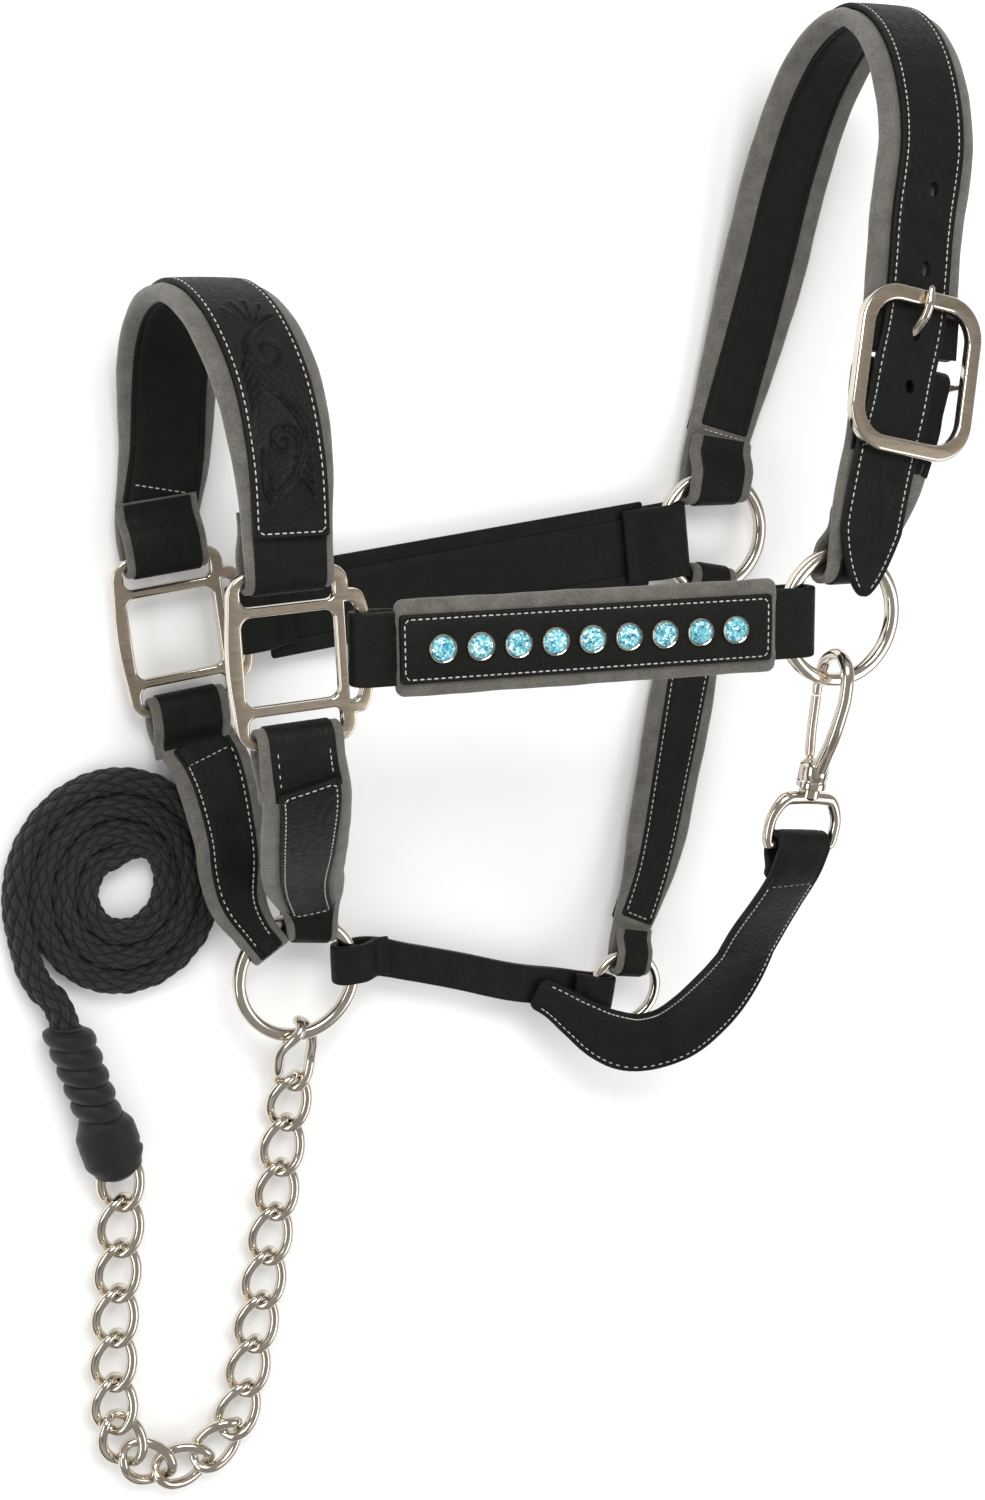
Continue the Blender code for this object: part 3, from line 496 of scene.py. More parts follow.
def loft(band, s0, s1, width, low, high, edge=0.8, corner=0.0, crown=0.0, inset=1.9, relief=None,
         step=1.6, fine=0, tip=None, extra=()):
    """A closed layer of a strap from s0 to s1, between the heights low and high.

    edge rounds its long edges and ends, corner rounds its outline's corners, crown raises the
    middle, relief(s, u, half) is added to the upper face, tip(distance from s0) scales the width, and
    extra lists more places for a row of points.
    """
    places = stations(s0, s1, step, (edge, corner))
    for place in extra:
        if np.abs(places - place).min() > 0.2:
            places = np.sort(np.r_[places, place])
    wide, bottom, upper = value(width, places), value(low, places), value(high, places)
    from_end = np.minimum(places - places[0], places[-1] - places)
    if corner:
        inside = np.clip(corner - from_end, 0, corner)
        wide = wide - 2 * (corner - np.sqrt(corner ** 2 - inside ** 2))
    if tip:
        wide = wide * tip(places - places[0])
    round_off = np.clip(edge - from_end, 0, edge)
    drop = np.minimum(edge - np.sqrt(edge ** 2 - round_off ** 2), (upper - bottom) * 0.42)
    bottom, upper = bottom + drop, upper - drop
    loops = []
    for s, w, b, t in zip(places, wide, bottom, upper):
        half = w / 2
        r = min(edge, half * 0.8, (t - b) * 0.49)
        loop = [*quarter(half - r, b + r, r, -90), *quarter(half - r, t - r, r, 0)]
        if fine:
            marks = np.linspace(half - r, r - half, fine + 2)[1:-1]
        else:
            near = [half - d for d in (inset - 0.8, inset - 0.35, inset, inset + 0.35, inset + 0.8)]
            marks = np.array([*near, *np.linspace(near[-1], -near[-1], 7)[1:-1], *(-m for m in near[::-1])])
            marks = np.clip(marks, r - half, half - r)
        raised = crown * (1 - (marks / max(half, 1e-6)) ** 2)
        if relief:
            raised = raised + relief(s, marks, half)
        loop += [(u, t + more) for u, more in zip(marks, raised)]
        loop += [*quarter(r - half, t - r, r, 90), *quarter(r - half, b + r, r, 180)]
        loop += [((r - half) * (1 - k / 3), b) for k in range(1, 6)]
        loops.append(loop)
    loops = np.array(loops)
    points = band.at(places[:, None] + 0 * loops[..., 0], loops[..., 0], loops[..., 1])
    return points.reshape(-1, 3), grid_faces(len(places), loops.shape[1])


def groove(inset, depth=0.35, spread=0.42):
    """A channel beside each edge, where the stitches lie."""
    return lambda s, u, half: -depth * np.exp(-((np.abs(u) - (half - inset)) / spread) ** 2)


def tube(points, radius, sides=16, ups=None, cyclic=False, flatten=1.0):
    """A wire through the points. flatten squeezes it along its up direction."""
    points = np.asarray(points, float)
    if cyclic:
        tangent = unit(np.roll(points, -1, 0) - np.roll(points, 1, 0))
    else:
        tangent = unit(np.gradient(points, axis=0))
    ups = np.broadcast_to(Z if ups is None else ups, points.shape)
    side = unit(np.cross(tangent, ups))
    up = np.cross(side, tangent)
    angles = np.arange(sides) * 2 * math.pi / sides
    radius = np.broadcast_to(radius, len(points))[:, None, None]
    shape = side[:, None] * np.cos(angles)[None, :, None]
    shape = shape + up[:, None] * np.sin(angles)[None, :, None] * flatten
    rings = points[:, None] + shape * radius
    return rings.reshape(-1, 3), grid_faces(len(points), sides, wrap_rows=cyclic)


def lathe(profile, base, axis, sides=32):
    """A shape turned about an axis from (radius, height) pairs."""
    axis = unit(axis)
    a = unit(np.cross(axis, X if abs(axis[0]) < 0.9 else Y))
    b = np.cross(axis, a)
    angles = np.arange(sides) * 2 * math.pi / sides
    ring = a * np.cos(angles)[:, None] + b * np.sin(angles)[:, None]
    points = [np.asarray(base, float) + axis * h + ring * r for r, h in profile]
    return np.vstack(points), grid_faces(len(profile), sides)


STITCH = 1.75
NEAR_STITCH = (-0.8, -0.4, 0.0, 0.4, 0.8)
STITCH_PITCH = 2.75
STITCH_R = 0.27


def stitches(name, band, rows, height):
    """Saddle stitches along rows of (s, u) points, lying on the height given as h or h(s, u)."""
    template = []
    for x, r in ((-0.5, 0.35), (-0.38, 0.9), (0, 1), (0.38, 0.9), (0.5, 0.35)):
        for k in range(6):
            angle = math.pi * k / 3
            template.append((x * STITCH, math.cos(angle) * r * STITCH_R, math.sin(angle) * r * STITCH_R))
    template = np.array(template)
    shapes = []
    for row in rows:
        spots, _ = resample(np.array(row, float), 0.25)
        total = lengths(spots)
        for d in np.arange(STITCH_PITCH / 2, total[-1], STITCH_PITCH):
            ends = [[np.interp(d + e, total, spots[:, i]) for i in range(2)] for e in (-0.5, 0.5)]
            h = [float(height(*e)) if callable(height) else height for e in ends]
            a, b = (band.at(e[0], e[1], hh) for e, hh in zip(ends, h))
            along = unit(b - a)
            normal = band.frames(np.array(ends[0][0]))[2]
            side = np.cross(normal, along)
            points = (a + b) / 2 + template @ np.array([along, side, normal])
            shapes.append((points, grid_faces(5, 6)))
    return make(name, *joined(shapes), THREAD)


def outline_row(s0, s1, half, inset, corner=1.5):
    """A closed stitching row inside a strap's outline."""
    a0, a1 = s0 + inset, s1 - inset
    samples = np.linspace(a0 + corner, a1 - corner, 80)
    edge = value(half, samples) - inset
    right = [(s, e) for s, e in zip(samples, edge)]
    left = [(s, -e) for s, e in zip(samples[::-1], edge[::-1])]
    return [(a0, edge[0] - corner), *right, (a1, edge[-1] - corner), (a1, corner - edge[-1]), *left,
            (a0, corner - edge[0]), (a0, edge[0] - corner)]


# ---------------------------------------------------------------- metal pieces

def rounded_rectangle(low, high, radius, steps=8):
    (x0, y0), (x1, y1) = low, high
    corners = ((x1 - radius, y1 - radius), (x0 + radius, y1 - radius), (x0 + radius, y0 + radius),
               (x1 - radius, y0 + radius))
    points = []
    for quadrant, (x, y) in enumerate(corners):
        points += sweep(x, y, radius, quadrant * 90, quadrant * 90 + 90, steps)
    return points


def plate(name, loops, thickness, bevel, axes, centre, stands_for):
    """A flat plate with holes and rounded rims: brushed faces and polished edges."""
    curve = bpy.data.curves.new(name, "CURVE")
    curve.dimensions = "2D"
    curve.fill_mode = "BOTH"
    curve.extrude = thickness / 2 - bevel
    curve.bevel_depth = bevel
    curve.bevel_resolution = 3
    curve.offset = -bevel
    for loop in loops:
        spline = curve.splines.new("POLY")
        spline.points.add(len(loop) - 1)
        for slot, (x, y) in zip(spline.points, loop):
            slot.co = (x, y, 0, 1)
        spline.use_cyclic_u = True
    holder = bpy.data.objects.new(name, curve)
    bpy.context.scene.collection.objects.link(holder)
    raw = bpy.data.meshes.new_from_object(holder.evaluated_get(bpy.context.evaluated_depsgraph_get()))
    bpy.data.objects.remove(holder, do_unlink=True)
    bpy.data.curves.remove(curve)
    bm = bmesh.new()
    bm.from_mesh(raw)
    bmesh.ops.remove_doubles(bm, verts=bm.verts, dist=0.001)
    bm.to_mesh(raw)
    bm.free()
    local = np.array([v.co[:] for v in raw.vertices])
    faces = [tuple(p.vertices) for p in raw.polygons]
    bpy.data.meshes.remove(raw)
    obj = make(name, np.asarray(centre) + local @ np.array(axes), faces, POLISHED, slot="brushed_nickel",
               stands_for=(stands_for,), angle=35)
    obj.data.materials.append(BRUSHED)
    out = unit(axes[2])
    for face in obj.data.polygons:
        if abs(float(np.dot(face.normal[:], out))) > 0.995:
            face.material_index = 1


def bow(x, bulge, half, power_x, power_y):
    """A D-shaped curve from -half to half that stands out from x."""
    points = []
    for k in range(25):
        a = math.radians(-90 + 180 * k / 24)
        high = half * math.copysign(abs(math.sin(a)) ** power_y, a)
        points.append((x + bulge * abs(math.cos(a)) ** power_x, high))
    return points


def square(name, centre, turn):
    """A halter square: two slots and a window between bars, and a D loop for the cheek strap."""
    x0, y0, swell = 23.5, SQUARE_BAR_Y + 2.2, 1.6
    left = [(-x0 - swell * math.sin(math.pi * k / 10), (y0 - 12) * (1 - k / 5)) for k in range(1, 10)]
    outline = [*sweep(x0 - 7, y0 - 7, 7, 0, 90, 10), *sweep(-x0 + 10, y0 - 10, 10, 90, 170, 10), *left,
               *sweep(-x0 + 10, 10 - y0, 10, 190, 270, 10), *sweep(x0 - 7, 7 - y0, 7, 270, 360, 10),
               *bow(x0, 8.2, 23.5, 0.55, 0.8)]
    eye = bow(21.6, 5.7, 18.6, 0.45, 0.7)
    loops = [outline, rounded_rectangle((-18.5, 20.3), (18.0, SQUARE_BAR_Y - 2.2), 3.2),
             rounded_rectangle((-18.9, -16.6), (17.8, 16.6), 4.0),
             rounded_rectangle((-18.5, 2.2 - SQUARE_BAR_Y), (18.0, -20.3), 3.2), eye]
    axes = (turned(X, turn), turned(Y, turn), Z)
    plate(name, loops, 4.2, 0.9, axes, centre, name)


def metal_ring(name, centre, radius, wire):
    """A cast ring whose section is a little squared."""
    angles = np.arange(96) * 2 * math.pi / 96
    points = centre + np.stack([radius * np.cos(angles), radius * np.sin(angles), 0 * angles], 1)
    out = unit(points - centre)
    section = []
    for k in range(20):
        a = 2 * math.pi * k / 20
        c, s = math.cos(a), math.sin(a)
        section.append((math.copysign(abs(c) ** 0.78, c) * wire, math.copysign(abs(s) ** 0.78, s) * wire))
    rings = np.stack([points + out * a + Z * b for a, b in section], 1)
    metal(f"{name}_metal", (rings.reshape(-1, 3), grid_faces(96, 20, True)), name, (name,))


def link_mesh(name, centre, direction, half, side, wire, body, stands_for, middle_turn=0.0, half_turn=45.0,
              rise=0.0, late=0.5):
    """A wire loop twisted along its length: by middle_turn in the middle and half_turn more at each
    end, where late puts the twist nearer the ends. rise tilts its front end up.
    """
    angles = np.arange(56) * 2 * math.pi / 56
    along, out = half * np.cos(angles), side * np.sin(angles)
    t = along / half
    twist = np.radians(middle_turn + half_turn * ((1 - late) * t + late * t ** 3))
    local = np.stack([along, out * np.cos(twist), out * np.sin(twist)], 1)
    ups = np.stack([0 * along, -np.sin(twist), np.cos(twist)], 1)
    flat = unit(direction * vec(1, 1, 0))
    tip = math.radians(rise)
    forward = flat * math.cos(tip) + Z * math.sin(tip)
    across = np.cross(Z, flat)
    axes = np.array([forward, across, np.cross(forward, across)])
    # A link is a little thicker along its sides than round its ends.
    radius = wire * (1.09 - 0.06 * np.cos(2 * angles))
    metal(name, tube(centre + local @ axes, radius, 16, ups @ axes, cyclic=True), body, stands_for)


def buckle_axes():
    along = unit(vec(0.20, 0.97, -0.13))
    across = unit(X - along * (X @ along))
    return across, along, np.cross(across, along)


def in_buckle(across_mm, along_mm, out_mm=0.0):
    across, along, out = buckle_axes()
    return BUCKLE + across * across_mm + along * along_mm + out * out_mm


def buckle():
    outline = rounded_rectangle((-26, -33), (32, 33), 17, 16)
    hole = rounded_rectangle((-19.5, -26.5), (25.5, 26.5), 11, 14)
    high, low = BUCKLE_RIM_RISE, -BUCKLE_BAR_DROP
    plate("buckle_rim", [outline, hole], 4.4, 1.2, buckle_axes(), in_buckle(0, 0, high), "buckle_frame")
    turns = ((-21.0, high - 1.5), (-19.0, low + 3), (-16.0, low), (26.6, low), (29.4, low + 3),
             (29.6, high))
    route = smooth([in_buckle(x, 0, out) for x, out in turns], 1.0)
    radius = 1.2 + 0.7 * np.clip((low + 4 - (route - BUCKLE) @ buckle_axes()[2]) / 3, 0, 1)
    metal("buckle_bar", tube(route, radius, 14, buckle_axes()[1]))


def prong():
    reach = 1.9 + GAP + 1.7
    route = []
    for step in range(25):
        angle = math.radians(-200 + 290 * step / 24)
        lift = -BUCKLE_BAR_DROP + reach * math.sin(angle)
        route.append(in_buckle(PRONG_X, reach * math.cos(angle), lift))
    bends = ((8, -4.2), (13, -3.4), (17.5, 0.4), (23, 6.4), (27, 8.1), (34.5, 8.1))
    tongue = smooth([in_buckle(PRONG_X, y, out) for y, out in bends], 0.8)
    route = np.array([*route, *tongue])
    radius = eased(np.linspace(0, 1, len(route)), [0, 0.5, 0.86, 1], [1.75, 1.9, 1.6, 1.0])
    radius[-1] *= 0.4
    shape = tube(route, radius, 16, buckle_axes()[0], flatten=1.25)
    metal("buckle_tongue", shape, "buckle_prong", ("buckle_prong",))


HOOK_DOWN = unit(vec(-0.12, -0.985, -0.12))
HOOK_BACK = unit(Z - HOOK_DOWN * HOOK_DOWN[2])
HOOK_SIDE = unit(np.cross(HOOK_BACK, HOOK_DOWN))


def in_hook(back_mm, down_mm, side_mm=0.0):
    return HOOK_COLLAR + HOOK_BACK * back_mm + HOOK_DOWN * down_mm + HOOK_SIDE * side_mm


def snap():
    """The snap hook: faceted collar, curled hook, gate and swivel eye."""
    collar = [(4.6, -6.4), (5.4, -6.0), (5.6, -5.2), (6.3, -4.6), (6.4, 0.2), (6.0, 0.9), (6.0, 1.6),
              (6.5, 2.2), (6.4, 4.4), (5.6, 5.0)]
    shapes = [lathe(collar, in_hook(0, 0), HOOK_DOWN, 10)]
    curl = ((2.6, -1), (5.2, -9), (7.6, -16), (9.8, -26), (10.8, -37), (7.8, -47.5), (0.5, -51.5),
            (-6.8, -47.5), (-9.4, -39), (-9.0, -32.2))
    run = smooth([in_hook(*place) for place in curl], 0.9)
    radius = eased(np.linspace(0, 1, len(run)), [0, 0.18, 0.5, 0.8, 1], [3.0, 2.7, 2.5, 2.4, 1.9])
    radius[0] *= 0.5
    radius[-1] *= 0.8
    shapes.append(tube(run, radius, 18, HOOK_SIDE, flatten=1.12))
    metal("snap_body", joined(shapes), "snap_hook", ("snap_hook",), 38)
    gate = smooth([in_hook(-4.6, -6.0), in_hook(-6.9, -16), in_hook(-8.9, -31.6)], 0.9)
    shape = tube(gate, eased(np.linspace(0, 1, len(gate)), [0, 0.1, 1], [1.4, 2.1, 2.1]), 16, HOOK_SIDE)
    metal("snap_gate_bar", shape, "snap_gate", ("snap_gate",))
    wide, low, high = EYE_HALF_WIDTH, EYE_BAR, EYE_TOP
    shape = [(-wide + 1, low), (0, low + 0.2), (wide - 1, low), (wide, low - 4), (wide - 0.5, low - 12),
             (wide - 5, high + 1), (5, high), (-5, high), (-wide + 5, high + 1), (-wide + 0.5, low - 12),
             (-wide, low - 4), (-wide + 1, low)]
    line = smooth([in_hook(0, down, across) for across, down in shape], 1.0)[:-1]
    thick = 2.3 + 0.5 * np.clip((EYE_BAR - 12 - (line - HOOK_COLLAR) @ HOOK_DOWN) / 8, 0, 1)
    boss = [(3.0, 5.0), (4.3, 5.4), (4.4, 8.6), (3.4, 9.6)]
    shapes = [tube(line, thick, 16, HOOK_BACK, cyclic=True), lathe(boss, in_hook(0, 0), HOOK_DOWN, 24)]
    metal("snap_swivel_eye", joined(shapes), "snap_eye", ("snap_eye",), 38)


def chain():
    """The clip and the curb links; returns the last link's middle and direction."""
    link_mesh("clip_link", CLIP, -Y, 17.6, 9.4, 2.2, "chain_clip", ("chain_clip",), -20, 75, -22, 1.0)
    low = CHAIN_Z
    route = smooth([(-95, -143.5, low + 1.1), (-99, -169, low), (-102, -190, low), (-105.5, -210, low),
                    (-109, -230, low), (-113, -250, low), (-117.5, -270, low), (-123, -288, low),
                    (-134, -300.5, low), (-148.5, -305, low), (-163, -300.5, low), (-174, -288, low),
                    (-177.5, -268, low), (-176.5, -243, low), (-174.5, -218, low),
                    (-172.5, -197, low), (-171, -177, low), (-171, -150, low)], 2.0)
    distance = 0.0
    places = []
    for i in range(CHAIN_LINKS + 1):
        places.append(at_length(route, distance))
        distance += BEND_PITCH if i in BENT_LINKS else CHAIN_PITCH
    for i, (centre, direction) in enumerate(places):
        last = i == CHAIN_LINKS
        body = "rope" if last else f"chain_link_{i + 1:02d}"
        stands_for = "chain_end_link" if last else body
        link_mesh(f"link_{i + 1:02d}", centre, direction, LINK_HALF, LINK_SIDE, CHAIN_WIRE, body,
                  (stands_for,), rise=0 if i else -8)
    return places[-1]


# ---------------------------------------------------------------- rope

def braid(points, radius, squeeze):
    """A braided rope along the points: two families of strands that pass over and under."""
    around, cell = 84, 5.8
    strands = 7
    tangent = unit(np.gradient(points, axis=0))
    side = unit(np.cross(Z, tangent))
    up = np.cross(tangent, side)
    s = lengths(points)[:, None]
    angle = (np.arange(around) * 2 * math.pi / around)[None]
    a = angle * strands / (2 * math.pi) + s / (2 * cell)
    b = angle * strands / (2 * math.pi) - s / (2 * cell)
    over = (np.floor(a) + np.floor(b)) % 2 == 0
    across = np.where(over, a % 1, b % 1)
    along = np.where(over, b % 1, a % 1)
    bulge = np.sin(math.pi * across) ** 0.8 * (0.35 + 0.65 * np.sin(math.pi * along) ** 0.7)
    reach = radius - 1.15 + 1.45 * bulge
    wide = squeeze[:, None] * reach
    rings = points[:, None] + side[:, None] * (wide * np.cos(angle))[..., None]
    rings = rings + up[:, None] * (reach * np.sin(angle))[..., None]
    return rings.reshape(-1, 3), grid_faces(len(points), around)


def rope(end_link):
    """The coiled rope, from the coil's middle to its whipped end, which hangs on the last link."""
    centre, direction = end_link
    knot = centre + direction * 3.5
    knot[2] = 9.9
    top = vec(-191.5, -96, 9.9)
    axis = top - knot
    long = np.linalg.norm(axis)
    way = axis / long
    spiral = []
    turns = 360 * COIL_TURNS
    for step in range(int(turns / 6) + 1):
        back = turns * (1 - step / int(turns / 6))
        tuck = float(eased(back, [turns - 75, turns], [0, COIL_GROWTH]))
        radius = COIL_OUT - COIL_GROWTH * back / 360 + tuck
        spiral.append(COIL + turned(X, COIL_LEAVES - back) * radius * COIL_STRETCH)
    spiral = smooth(spiral, 1.0)
    tail = smooth([spiral[-1], (-203, -74, 6.8), top + way * 10 - Z * 1.2, top - Z * 1.2], 1.0)[1:]
    hidden = smooth([top - Z * 1.2, top - way * 20, knot + way * 14, knot + way * 3], 1.0)[1:]
    points, _ = resample(np.array([*spiral, *tail, *hidden])[::-1], 0.5)
    coil_start = lengths(np.array([*tail, *hidden]))[-1]
    squeeze = eased(lengths(points), [coil_start - 10, coil_start + 20], [1.0, 0.9])
    shape = braid(points, 5.95, squeeze)
    obj = make("braided_rope", *shape, ROPE, "rope", "black_rope", ("lead_rope", "rope_coil"), 80)

    # The whipping: a smooth bulb over the link, then five wraps that lean a little.
    a = unit(np.cross(Z, way))
    b = np.cross(way, a)
    heights = np.linspace(-1.5, long + 0.5, 190)
    bulb = eased(heights, [-1.5, 0.0, 3, 9, 20, 30], [2.0, 6.5, 10.4, 12.9, 12.9, 8.6])
    pitch = (long - 28) / 5
    phase = (heights - 28) / pitch
    wraps = 7.5 + 0.5 * np.clip(phase, 0, 5) / 5 + 2.3 * np.abs(np.sin(math.pi * phase)) ** 0.6
    blend = np.clip((heights - 26.5) / 2.0, 0, 1)
    reach = bulb * (1 - blend) + wraps * blend
    reach = reach * eased(heights, [long - 2, long + 0.5], [1.0, 0.74])
    angle = (np.arange(48) * 2 * math.pi / 48)[None]
    # A tilt of the wraps, and a crease that runs round the bulb.
    lean = np.tan(math.radians(20)) * blend[:, None] * np.cos(angle) * reach[:, None]
    crease = np.exp(-((heights[:, None] - 15 - 7 * np.sin(angle + 0.8)) / 1.1) ** 2) * (1 - blend[:, None])
    r = reach[:, None] - 0.9 * crease * (np.sin(angle) > -0.2)
    rings = knot + way * (heights[:, None] + lean)[..., None]
    rings = rings + a * (r * np.cos(angle))[..., None]
    rings = rings + b * (np.minimum(r * 0.99, 9.8) * np.sin(angle))[..., None]
    wrap = make("rope_end_wrap", rings.reshape(-1, 3), grid_faces(len(heights), 48), WRAP, "rope",
                "black_rope", ("rope_whipping",), 80)


# ---------------------------------------------------------------- camera, floor and light

def camera():
    aim = vec(0.014, 0, 0)
    away = unit(vec(-0.42, 0.20, 0.885))
    up = unit(Y - away * (Y @ away))
    right = np.cross(up, away)
    data = bpy.data.cameras.new("camera")
    data.lens = 50.98
    obj = bpy.data.objects.new("camera", data)
    bpy.context.scene.collection.objects.link(obj)
    place = np.eye(4)
    place[:3, 0], place[:3, 1], place[:3, 2], place[:3, 3] = right, up, away, aim + away * 0.95
    obj.matrix_world = Matrix(place.tolist())
    bpy.context.scene.camera = obj


def area_light(name, place, aim, size, power, colour=(1, 1, 1)):
    data = bpy.data.lights.new(name, "AREA")
    data.shape = "RECTANGLE"
    data.size, data.size_y = size
    data.energy = power
    data.color = colour
    obj = bpy.data.objects.new(name, data)
    bpy.context.scene.collection.objects.link(obj)
    back = unit(np.asarray(place, float) - np.asarray(aim, float))
    side = unit(np.cross(Y if abs(back[1]) < 0.9 else X, back))
    matrix = np.eye(4)
    matrix[:3, 0], matrix[:3, 1], matrix[:3, 2], matrix[:3, 3] = side, np.cross(back, side), back, place
    obj.matrix_world = Matrix(matrix.tolist())


def studio():
    scene = bpy.context.scene
    scene.view_settings.view_transform = "Standard"
    scene.view_settings.look = "None"
    mesh = bpy.data.meshes.new("studio_floor")
    size = 6.0
    corners = [(-size, -size, 0), (size, -size, 0), (size, size, 0), (-size, size, 0)]
    mesh.from_pydata(corners, [], [(0, 1, 2, 3)])
    made = new_material("studio_floor", (0.93, 0.93, 0.925), 0.9, Specular_IOR_Level=0.1)[0]
    mesh.materials.append(made)
    floor = bpy.data.objects.new("studio_floor", mesh)
    scene.collection.objects.link(floor)
    floor.location.z = -0.0004

    world_data = bpy.data.worlds.new("studio")
    scene.world = world_data
    world_data.use_nodes = True
    tree = world_data.node_tree
    background = tree.nodes["Background"]
    rays = node(tree, "ShaderNodeLightPath")
    where = node(tree, "ShaderNodeTexCoord")
    split = node(tree, "ShaderNodeSeparateXYZ")
    tree.links.new(where.outputs["Generated"], split.inputs["Vector"])
    stops = [(0.0, (0.10, 0.10, 0.10)), (0.25, (0.14, 0.135, 0.13)), (0.45, (0.60, 0.59, 0.57)),
             (0.62, (0.16, 0.155, 0.15)), (0.80, (0.34, 0.33, 0.32)), (1.0, (0.30, 0.295, 0.29))]
    reflected = ramp(tree, split.outputs["Z"], stops)
    choose = node(tree, "ShaderNodeMix", data_type="RGBA")
    tree.links.new(rays.outputs["Is Glossy Ray"], choose.inputs["Factor"])
    choose.inputs["A"].default_value = (0.80, 0.80, 0.80, 1)
    tree.links.new(reflected, choose.inputs["B"])
    seen = node(tree, "ShaderNodeMix", data_type="RGBA")
    tree.links.new(rays.outputs["Is Camera Ray"], seen.inputs["Factor"])
    tree.links.new(choose.outputs["Result"], seen.inputs["A"])
    seen.inputs["B"].default_value = (0.97, 0.97, 0.965, 1)
    tree.links.new(seen.outputs["Result"], background.inputs["Color"])
    area_light("key", (-0.25, 0.95, 1.25), (0, 0, 0.03), (0.9, 0.6), 13, (1, 0.99, 0.97))
    area_light("fill", (0.9, -0.4, 1.0), (0, 0, 0.03), (0.7, 0.9), 3.5)
    area_light("left_card", (-1.1, -0.1, 0.7), (0, 0, 0.03), (0.4, 1.2), 3.5)


# ---------------------------------------------------------------- straps

class Padded:
    """The layers of one padded strap on its band."""

    def __init__(self, name, band, widths, thick, nodes):
        self.name, self.band, self.nodes = name, band, nodes
        self.width = lambda s: eased(s / band.length, *zip(*widths))
        self.thick = lambda s: eased(s / band.length, *zip(*thick))

    def pad(self, s0=None, s1=None, corner=0.0):
        """The soft body, with rolled edges that swell a little beside the top strap."""
        s0 = self.band.low if s0 is None else s0
        s1 = self.band.high if s1 is None else s1
        phase = len(self.name)

        def edge_width(s):
            wave = 0.22 * np.sin(s / 7.3 + phase) + 0.14 * np.sin(s / 3.1 + 2 * phase)
            inside = np.clip(np.minimum(s, self.band.length - s) / 20, 0, 1)
            return self.width(s) + wave * inside

        def swell(s, u, half):
            full = np.clip((float(self.thick(np.array(s))) - 3.6) / 2, 0, 1)
            roll = np.exp(-((np.abs(u) - (half - 4.2)) / 2.4) ** 2)
            return full * (0.75 * roll + 0.12 * roll * math.sin(s / 2.3 + phase))

        high = lambda s: self.thick(s) / 2
        low = lambda s: -self.thick(s) / 2
        shape = loft(self.band, s0, s1, edge_width, low, high, edge=2.9, corner=corner, inset=4.2,
                     relief=swell, step=1.3, fine=16)
        obj = make(f"{self.name}_pad", *shape, GREY, slot="grey_padding", stands_for=self.nodes[:1],
                   angle=80)
        return obj

    def chape(self, tag, s0, s1, margin, thickness=0.75):
        """Black leather on the outer side of a folded end."""
        width = lambda s: self.width(s) - 2 * margin
        low = lambda s: self.thick(s) / 2 - 0.5
        high = lambda s: self.thick(s) / 2 + thickness
        shape = loft(self.band, s0, s1, width, low, high, edge=0.55, inset=1.2, step=1.2)
        return make(f"{self.name}_{tag}", *shape, BLACK)

    def lining(self, s0, s1, width, inset=2.2, sewn=()):
        """The inner lining: a panel with a double line beside each edge, sewn where sewn says."""
        flipped = self.band.flipped()

        def lines(s, u, half):
            d = half - np.abs(u)
            return -0.4 * np.exp(-((d - inset) / 0.35) ** 2) + 0.3 * np.exp(-((d - inset - 1.2) / 0.5) ** 2)

        low = lambda s: self.thick(s) / 2 - 0.6
        high = lambda s: self.thick(s) / 2 + 0.55
        shape = loft(flipped, s0, s1, width, low, high, edge=0.7, corner=1.5, inset=inset, relief=lines)
        if sewn:
            places = np.linspace(sewn[0], sewn[1], 60)
            edge = value(width, places) / 2 - inset
            rows = [list(zip(places, edge)), list(zip(places, -edge))]
            if sewn[2]:
                rows.append([(sewn[0], -edge[0]), (sewn[0], edge[0])])
            stitches(f"{self.name}_lining_thread", flipped, rows, lambda s, u: float(high(s)) - 0.1)
        return make(f"{self.name}_lining", *shape, LINING)

    def strip(self, s0, s1, width, corner=1.2, inset=1.8, relief=None, fine=0, step=1.4):
        """The stitched top strap. Returns the row for its stitches and their height."""
        low, high, crown = BODY / 2 - 0.1, 5.6, 0.35
        sides = groove(inset)
        extra = [*(s0 + inset + d for d in NEAR_STITCH), *(s1 - inset - d for d in NEAR_STITCH)]

        def total(s, u, half):
            ends = np.exp(-((min(s - s0, s1 - s) - inset) / 0.42) ** 2) * (np.abs(u) < half - inset)
            shape = np.minimum(sides(s, u, half), -0.35 * ends)
            return shape + relief(s, u, half) if relief else shape

        shape = loft(self.band, s0, s1, width, low, high, edge=0.75, corner=corner, crown=crown,
                     inset=inset, relief=total, fine=fine, step=step, extra=extra)
        make(f"{self.name}_top", *shape, BLACK, stands_for=self.nodes[1:2])
        half = lambda s: value(width, s) / 2
        height = lambda s, u: high - 0.2 + crown * (1 - (u / float(half(s))) ** 2)
        return outline_row(s0, s1, half, inset), height


